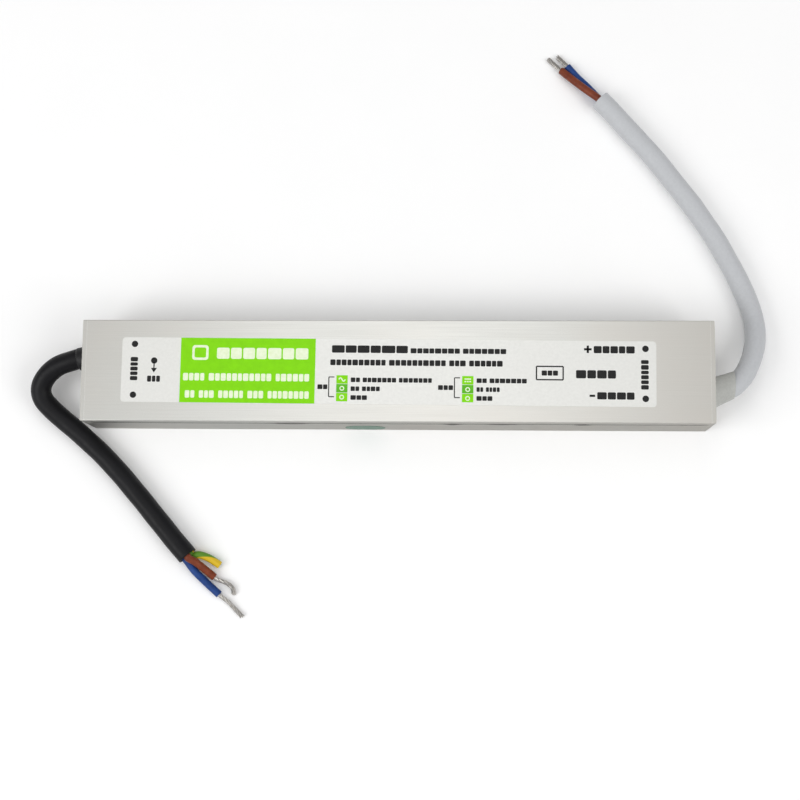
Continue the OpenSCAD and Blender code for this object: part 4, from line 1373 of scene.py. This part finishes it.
    def _green_field(self) -> None:
        """Prints the lime field over the film's whole width, with a pale square and pale rows on it."""
        left, right = -60.6, -20.9
        self.block(Ink.LIME, low=(left, -self.film_half_w), high=(right, self.film_half_w), radius=0.1)
        self.block(Ink.PALE, low=(-57.2, 3.0), high=(-52.4, 7.4), radius=0.8, level=1)
        self.block(Ink.LIME, low=(-56.5, 3.7), high=(-53.1, 6.7), radius=0.5, level=2)
        self.row(Ink.PALE, low=(-49.9, 3.4), reach=26.9, height=3.3, groups=[7], level=1)
        self.row(Ink.PALE, low=(-59.7, -3.1), reach=37.1, height=2.2, groups=[4, 11, 6], level=1)
        self.row(Ink.PALE, low=(-59.0, -8.2), reach=36.4, height=2.2, groups=[2, 3, 5, 3, 8], level=1)

    def _headings(self) -> None:
        """Prints the rows above the ratings."""
        self.row(Ink.BLACK, low=(-16.1, 5.5), reach=22.2, height=2.2, groups=[6])
        self.row(Ink.BLACK, low=(6.9, 5.5), reach=27.8, height=1.5, groups=[8, 7])
        self.row(Ink.BLACK, low=(-16.5, 1.8), reach=50.2, height=1.7, groups=[10, 10, 3, 6])

    def _ratings(self) -> None:
        """Prints both ratings, with a current sign in each first cell and rings in the others."""
        for rating in self.ratings:
            rating.print_on(self)
        self._alternating_sign(start=(-13.9, -2.4), reach=1.9, height=0.5)
        self._direct_sign(low=(22.7, -2.85), reach=1.9, rise=0.75, dash=0.5)
        for x in (-12.95, 23.65):
            for y in (-5.0, -7.6):
                self.cell_ring((x, y))

    def _alternating_sign(self, start: Flat, reach: float, height: float, steps: int = 10) -> None:
        """Prints the sign for alternating current: one pale wave.

        Args:
            start: The wave's left end.
            reach: Its length.
            height: How far it swings to either side.
            steps: The number of steps along it.
        """
        shares = [k / steps for k in range(steps + 1)]
        wave = [(start[0] + reach * s, start[1] + height * math.sin(2 * math.pi * s)) for s in shares]
        self.stroke(Ink.PALE, wave, self.sign_line, level=1)

    def _direct_sign(self, low: Flat, reach: float, rise: float, dash: float, dashes: int = 3) -> None:
        """Prints the sign for direct current: a pale bar over dashes.

        Args:
            low: The lower left corner of the first dash.
            reach: The bar's length.
            rise: How far the bar stands above the dashes.
            dash: The length of one dash.
            dashes: How many dashes there are.
        """
        x, y = low
        pitch = (reach - dash) / (dashes - 1)
        self.block(Ink.PALE, (x, y + rise), (x + reach, y + rise + self.sign_line), level=1)
        for left in (x + pitch * k for k in range(dashes)):
            self.block(Ink.PALE, (left, y), (left + dash, y + self.sign_line), level=1)

    def _right_marks(self) -> None:
        """Prints the plain frame, and the polarity rows with their plus and minus signs."""
        plain_frame = [(43.5, -1.9), (51.2, -1.9), (51.2, 2.0), (43.5, 2.0), (43.5, -1.9)]
        self.straights(Ink.BLACK, plain_frame, self.frame_line)
        self.row(Ink.BLACK, low=(45.0, -0.7), reach=4.7, height=1.5, groups=[3])
        self.row(Ink.BLACK, low=(54.9, -1.4), reach=11.5, height=2.4, groups=[4])
        self.block(Ink.BLACK, low=(57.2, 6.8), high=(59.4, 7.45))
        self.block(Ink.BLACK, low=(57.97, 6.03), high=(58.63, 8.22))
        self.row(Ink.BLACK, low=(60.0, 6.0), reach=11.8, height=2.1, groups=[5])
        self.block(Ink.BLACK, low=(58.8, -6.8), high=(60.4, -6.15))
        self.row(Ink.BLACK, low=(61.0, -7.5), reach=10.7, height=2.1, groups=[4])

    def build(self, shop: PaintShop) -> list[bpy.types.Object]:
        """Prints everything and gives one piece for each ink.

        Args:
            shop: Where the inks come from.

        Returns:
            The printed pieces.
        """
        self._terminals()
        self._green_field()
        self._headings()
        self._ratings()
        self._right_marks()
        pieces = []
        for ink, parts in self.parts.items():
            piece = parts.build(f"label_{ink.name.lower()}_print", shop.material(ink.value), smooth_below=10)
            pieces.append(piece)
        return pieces


@dataclass(frozen=True)
class Smear:
    """One place where sealant has been squeezed out of a seam.

    Attributes:
        start: Where it starts along the housing.
        end: Where it ends.
        rise: How much it adds to the bead.
        flank: How steep its flanks are.
    """

    start: float
    end: float
    rise: float
    flank: float = 2.2

    def height(self, x: float) -> float:
        """Gives how far the smear adds to the bead.

        Args:
            x: The place along the housing.

        Returns:
            The height that it adds there, zero outside its span.
        """
        share = min(1.0, max(0.0, (x - self.start) / (self.end - self.start)))
        climbed = min(1.0, self.flank * min(share, 1 - share))
        return self.rise * climbed**2 * (3 - 2 * climbed)


@dataclass(frozen=True)
class Ripple:
    """One unevenness of a bead's edge: its size, its rate along the housing and its shift by side."""

    size: float
    rate: float
    shift: float = 0.0

    def at(self, x: float, side: int) -> float:
        """Gives what the ripple adds at a place along the housing."""
        return self.size * math.sin(self.rate * x + self.shift * side)


@dataclass
class SeamSealantAndShade:
    """Dark sealant in the seams of the housing: a fine bead on each side, smeared on the near one. The fine
    bead is also painted shade for the gap in the seam.

    Attributes:
        reach: How far the beads go from the housing's middle.
        line_half: Half the height of a plain bead.
        flatness: How far a bead stands out, as a share of half its height.
        sag: How much more of a smear lies below the seam than above it.
        end_taper: The length over which a bead runs out.
        end_share: How much of the bead is left at its end.
        upper_ripples: The unevenness of the upper edge.
        lower_ripples: The unevenness of the lower edge.
        smears: The smears on the near side.
    """

    reach: float = 91.2
    line_half: float = 0.4
    flatness: float = 0.14
    sag: float = 0.35
    end_taper: float = 2.5
    end_share: float = 0.1
    step: float = 0.4
    sides: int = 12
    upper_ripples: tuple[Ripple, ...] = (Ripple(size=0.06, rate=2.3), Ripple(size=0.05, rate=0.7, shift=1.0))
    lower_ripples: tuple[Ripple, ...] = (Ripple(size=0.07, rate=1.7, shift=2.0), Ripple(size=0.05, rate=0.9))
    smears: tuple[Smear, ...] = (
        Smear(start=-39.0, end=-23.0, rise=0.8),
        Smear(start=13.0, end=20.6, rise=0.95),
        Smear(start=25.0, end=37.5, rise=0.6),
        Smear(start=50.8, end=58.2, rise=0.8),
    )
    # The dark tone of the fine bead also paints the shade in the gap of the seam.
    finish: Finish = Finish("sealant", "#403e3b", "#34322e", roughness=0.5, scale=1800.0, relief=0.03)

    def _edges(self, x: float, side: int) -> Flat:
        """Gives how far the bead reaches above and below the seam.

        Args:
            x: The place along the housing.
            side: Minus one on the near side, one on the far side.

        Returns:
            The reach upwards and the reach downwards, which run out towards the ends.
        """
        run_out = min(1.0, self.end_share + (self.reach - abs(x)) / self.end_taper)
        smeared = sum(smear.height(x) for smear in self.smears) if side < 0 else 0.0
        upper = 1 + sum(ripple.at(x, side) for ripple in self.upper_ripples)
        lower = 1 + sum(ripple.at(x, side) for ripple in self.lower_ripples)
        upwards = upper * (self.line_half + (1 - self.sag) * smeared)
        downwards = lower * (self.line_half + (1 + self.sag) * smeared)
        return run_out * upwards, run_out * downwards

    def _bead(self, parts: MeshParts, side: int) -> None:
        """Adds the bead of one side to a mesh.

        Args:
            parts: The mesh that takes it.
            side: Minus one on the near side, one on the far side.
        """
        count = math.ceil(2 * self.reach / self.step)
        rings = []
        for i in range(count + 1):
            x = self.reach * (2 * i / count - 1)
            upwards, downwards = self._edges(x, side)
            tall = (upwards + downwards) / 2
            deep = self.flatness * tall
            middle = Vector((x, side * HOUSING.half_width, HOUSING.seam_z + (upwards - downwards) / 2))
            angles = turns(self.sides)
            rings.append([middle + Vector((0, deep * math.cos(a), tall * math.sin(a))) for a in angles])
        parts.rings(rings, [float(i) for i in range(count + 1)])

    def build(self, shop: PaintShop) -> bpy.types.Object:
        """Builds both beads as one piece.

        Args:
            shop: Where the material comes from.

        Returns:
            The sealant, with the painted shade of the seams.
        """
        parts = MeshParts()
        for side in (-1, 1):
            self._bead(parts, side)
        beads = parts.build("seam_sealant_and_shade", shop.material(self.finish))
        return beads


@dataclass(frozen=True)
class Dressing:
    """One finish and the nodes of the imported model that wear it."""

    finish: Finish
    nodes: tuple[str, ...]

    def apply(self, shop: PaintShop) -> None:
        """Gives each node the material.

        Args:
            shop: Where the material comes from.
        """
        for node in self.nodes:
            paint(node, shop.material(self.finish))
            LOG.info("dressed %s as %s", node, self.finish.name)


def housing_dressings() -> list[Dressing]:
    """Gives the finishes of the housing, its fittings and its film.

    Returns:
        The dressings, ready to apply.
    """
    # The paler tone on the rounded edges of the extrusions is a painted highlight, not wear.
    extruded = Finish(
        "extruded_aluminium", "#dcddd9", "#d1d2ce", roughness=0.36, spread=0.04, metallic=1.0,
        pattern=Pattern.STREAKS, scale=3000.0, relief=0.002, edge_wear_and_highlight="#f4f4f2", dust=0.03, tint="#d9d5ce",
        edge_tint=0.4,
    )
    plate = Finish(
        "plate_aluminium", "#d8d8d4", "#d1d1cd", roughness=0.36, spread=0.04, metallic=1.0, scale=1800.0,
        relief=0.004, tint="#d6d3cc", edge_tint=0.4,
    )
    screw = Finish(
        "screw_steel", "#c3c1bb", "#aeaba4", roughness=0.3, metallic=1.0, scale=2500.0, edge_wear_and_highlight="#e2e0da"
    )
    film = Finish(
        "label_film", "#e6e6e2", "#e1e1dd", roughness=0.4, metallic=0.3, scale=1200.0, relief=0.002
    )
    paper = Finish("sticker_paper", "#587c6b", "#4f7161", roughness=0.5, scale=1400.0)
    return [
        Dressing(extruded, ("base_channel", "top_cover")),
        Dressing(plate, ("input_end_plate", "output_end_plate")),
        Dressing(screw, ("input_plate_screws", "output_plate_screws")),
        Dressing(film, ("label",)),
        Dressing(paper, ("inspection_sticker",)),
    ]


def circuit_dressings() -> list[Dressing]:
    """Gives the finishes of the circuit, its leads and the potting.

    Returns:
        The dressings, ready to apply.
    """
    sheet = Finish("sheet_film", "#e8e4d0", "#dcd7c0", roughness=0.4, scale=300.0)
    laminate = Finish("board_laminate", "#3f7d4a", "#356b3f", roughness=0.45, scale=1500.0)
    glass = Finish("fuse_body", "#b9c2c4", "#a5afb2", roughness=0.25, scale=900.0)
    varistor = Finish("varistor_coat", "#2f5fa0", "#284f88", roughness=0.4, scale=1200.0)
    film_case = Finish("film_cap_case", "#d8b23a", "#c7a232", roughness=0.45, scale=1500.0)
    ring = Finish("ring_coat", "#3d5b4a", "#344e40", roughness=0.4, scale=1300.0)
    copper = Finish("copper_wire", "#b8622c", "#a35524", roughness=0.28, metallic=1.0, scale=2500.0)
    moulding = Finish("black_moulding", "#2a2a2c", "#343436", roughness=0.6, scale=2200.0, relief=0.02)
    bulk = Finish("bulk_sleeve", "#25272c", "#1d1f23", roughness=0.35, scale=400.0)
    sleeve = Finish("output_sleeve", "#27305a", "#1f284c", roughness=0.35, scale=400.0)
    resistor = Finish("resistor_coat", "#7fb0b8", "#6d9ea6", roughness=0.4, scale=1200.0)
    ferrite = Finish("grey_ferrite", "#4a4a4c", "#3d3d40", roughness=0.7, scale=2400.0, relief=0.03)
    phenolic = Finish("bobbin_phenolic", "#2a2a2a", "#333333", roughness=0.55, scale=1800.0)
    tape = Finish("winding_tape", "#d9c23c", "#c8b134", roughness=0.3, scale=500.0)
    disc = Finish("disc_coat", "#3a7fb8", "#316fa3", roughness=0.4, scale=1200.0)
    input_lead = Finish("inner_lead_input", "#8a8f3a", "#7a7f32", roughness=0.4, scale=900.0)
    output_lead = Finish("inner_lead_output", "#2f5fa0", "#284f88", roughness=0.4, scale=900.0)
    resin = Finish("potting_resin", "#5c5a55", "#4f4d49", roughness=0.5, scale=300.0, relief=0.05)
    packages = (
        "bridge_rectifier", "controller_chip", "switching_transistor", "optocoupler", "output_rectifier",
    )
    return [
        Dressing(sheet, ("insulating_sheet",)),
        Dressing(laminate, ("circuit_board",)),
        Dressing(glass, ("fuse",)),
        Dressing(varistor, ("surge_varistor",)),
        Dressing(film_case, ("x_capacitor",)),
        Dressing(ring, ("line_choke_core",)),
        Dressing(copper, ("line_choke_windings", "output_choke_winding")),
        Dressing(moulding, packages),
        Dressing(bulk, ("bulk_capacitors",)),
        Dressing(sleeve, ("output_capacitors",)),
        Dressing(resistor, ("snubber_resistors",)),
        Dressing(ferrite, ("transformer_core", "output_choke_core")),
        Dressing(phenolic, ("transformer_bobbin",)),
        Dressing(tape, ("transformer_winding",)),
        Dressing(disc, ("y_capacitor",)),
        Dressing(input_lead, ("input_inner_leads",)),
        Dressing(output_lead, ("output_inner_leads",)),
        Dressing(resin, ("potting_compound",)),
    ]


@dataclass(frozen=True)
class PhotoCamera:
    """The photograph's camera, almost straight above the part."""

    place: Point = (22.77, -67.57, 450.97)
    turn_deg: Point = (7.795, 2.80, 0.238)
    lens: float = 67.5
    sensor: float = 36.0
    nearest: float = 10.0
    furthest: float = 50000.0

    def build(self) -> None:
        """Makes the camera and gives it to the scene."""
        data = bpy.data.cameras.new("photo_camera")
        data.lens, data.sensor_width = self.lens, self.sensor
        data.clip_start, data.clip_end = self.nearest * MM, self.furthest * MM
        camera = bpy.data.objects.new("photo_camera", data)
        camera.location = Vector(self.place) * MM
        camera.rotation_mode = "ZYX"
        camera.rotation_euler = [math.radians(a) for a in self.turn_deg]
        bpy.context.scene.collection.objects.link(camera)
        bpy.context.scene.camera = camera


@dataclass(frozen=True)
class SoftBox:
    """One soft lamp: a lit rectangle that faces the part."""

    name: str
    place: Point
    aim: Point
    width: float
    height: float
    radiance: float

    def build(self) -> None:
        """Makes the lamp."""
        data = bpy.data.lights.new(self.name, "AREA")
        data.shape = "RECTANGLE"
        data.size, data.size_y = self.width * MM, self.height * MM
        data.energy = self.radiance * math.pi * data.size * data.size_y
        lamp = bpy.data.objects.new(self.name, data)
        lamp.location = Vector(self.place) * MM
        facing = Vector(self.aim) - Vector(self.place)
        lamp.rotation_euler = facing.to_track_quat("-Z", "Y").to_euler()
        bpy.context.scene.collection.objects.link(lamp)


@dataclass
class Studio:
    """A pale floor, an even sky and soft lamps."""

    sky: float = 0.43
    floor_half: float = 6000.0
    floor_finish: Finish = Finish(
        "pale_floor", "#ffffff", "#fefefe", roughness=0.9, scale=40.0, specular=0.0
    )
    lamps: tuple[SoftBox, ...] = (
        SoftBox("overhead", place=(-34, 100, 800), aim=(-34, 100, 0), width=320, height=1400, radiance=1.17),
        SoftBox("left", place=(-820, -360, 800), aim=(0, 0, 0), width=700, height=700, radiance=3.65),
        SoftBox("right", place=(820, -360, 800), aim=(0, 0, 0), width=700, height=700, radiance=2.8),
    )

    def build(self, shop: PaintShop) -> None:
        """Sets the world, the lamps and the floor.

        Args:
            shop: Where the floor's material comes from.
        """
        world = bpy.data.worlds.new("studio")
        world.use_nodes = True
        background = world.node_tree.nodes["Background"]
        background.inputs["Color"].default_value = (self.sky, self.sky, self.sky, 1)
        bpy.context.scene.world = world
        bpy.context.scene.view_settings.view_transform = "Standard"
        for lamp in self.lamps:
            lamp.build()
        half = self.floor_half * MM
        corners = [(-half, -half, 0), (half, -half, 0), (half, half, 0), (-half, half, 0)]
        mesh = bpy.data.meshes.new("floor")
        mesh.from_pydata(corners, [], [(0, 1, 2, 3)])
        mesh.materials.append(shop.material(self.floor_finish))
        floor = bpy.data.objects.new("floor", mesh)
        bpy.context.scene.collection.objects.link(floor)


def main() -> None:
    """Builds the camera, the cables, the label, the sealant with its painted seam shade, the finishes and
    the studio, in that order.
    """
    logging.basicConfig(level=logging.INFO, format="%(name)s: %(message)s")
    shop = PaintShop()
    PhotoCamera().build()
    for run in (input_run(), output_run()):
        for piece in run.build(shop):
            LOG.info("built %s", piece.name)
    for piece in LabelPrint().build(shop):
        LOG.info("built %s", piece.name)
    LOG.info("built %s", SeamSealantAndShade().build(shop).name)
    for dressing in (*housing_dressings(), *circuit_dressings()):
        dressing.apply(shop)
    Studio().build(shop)


if __name__ == "__main__":
    main()
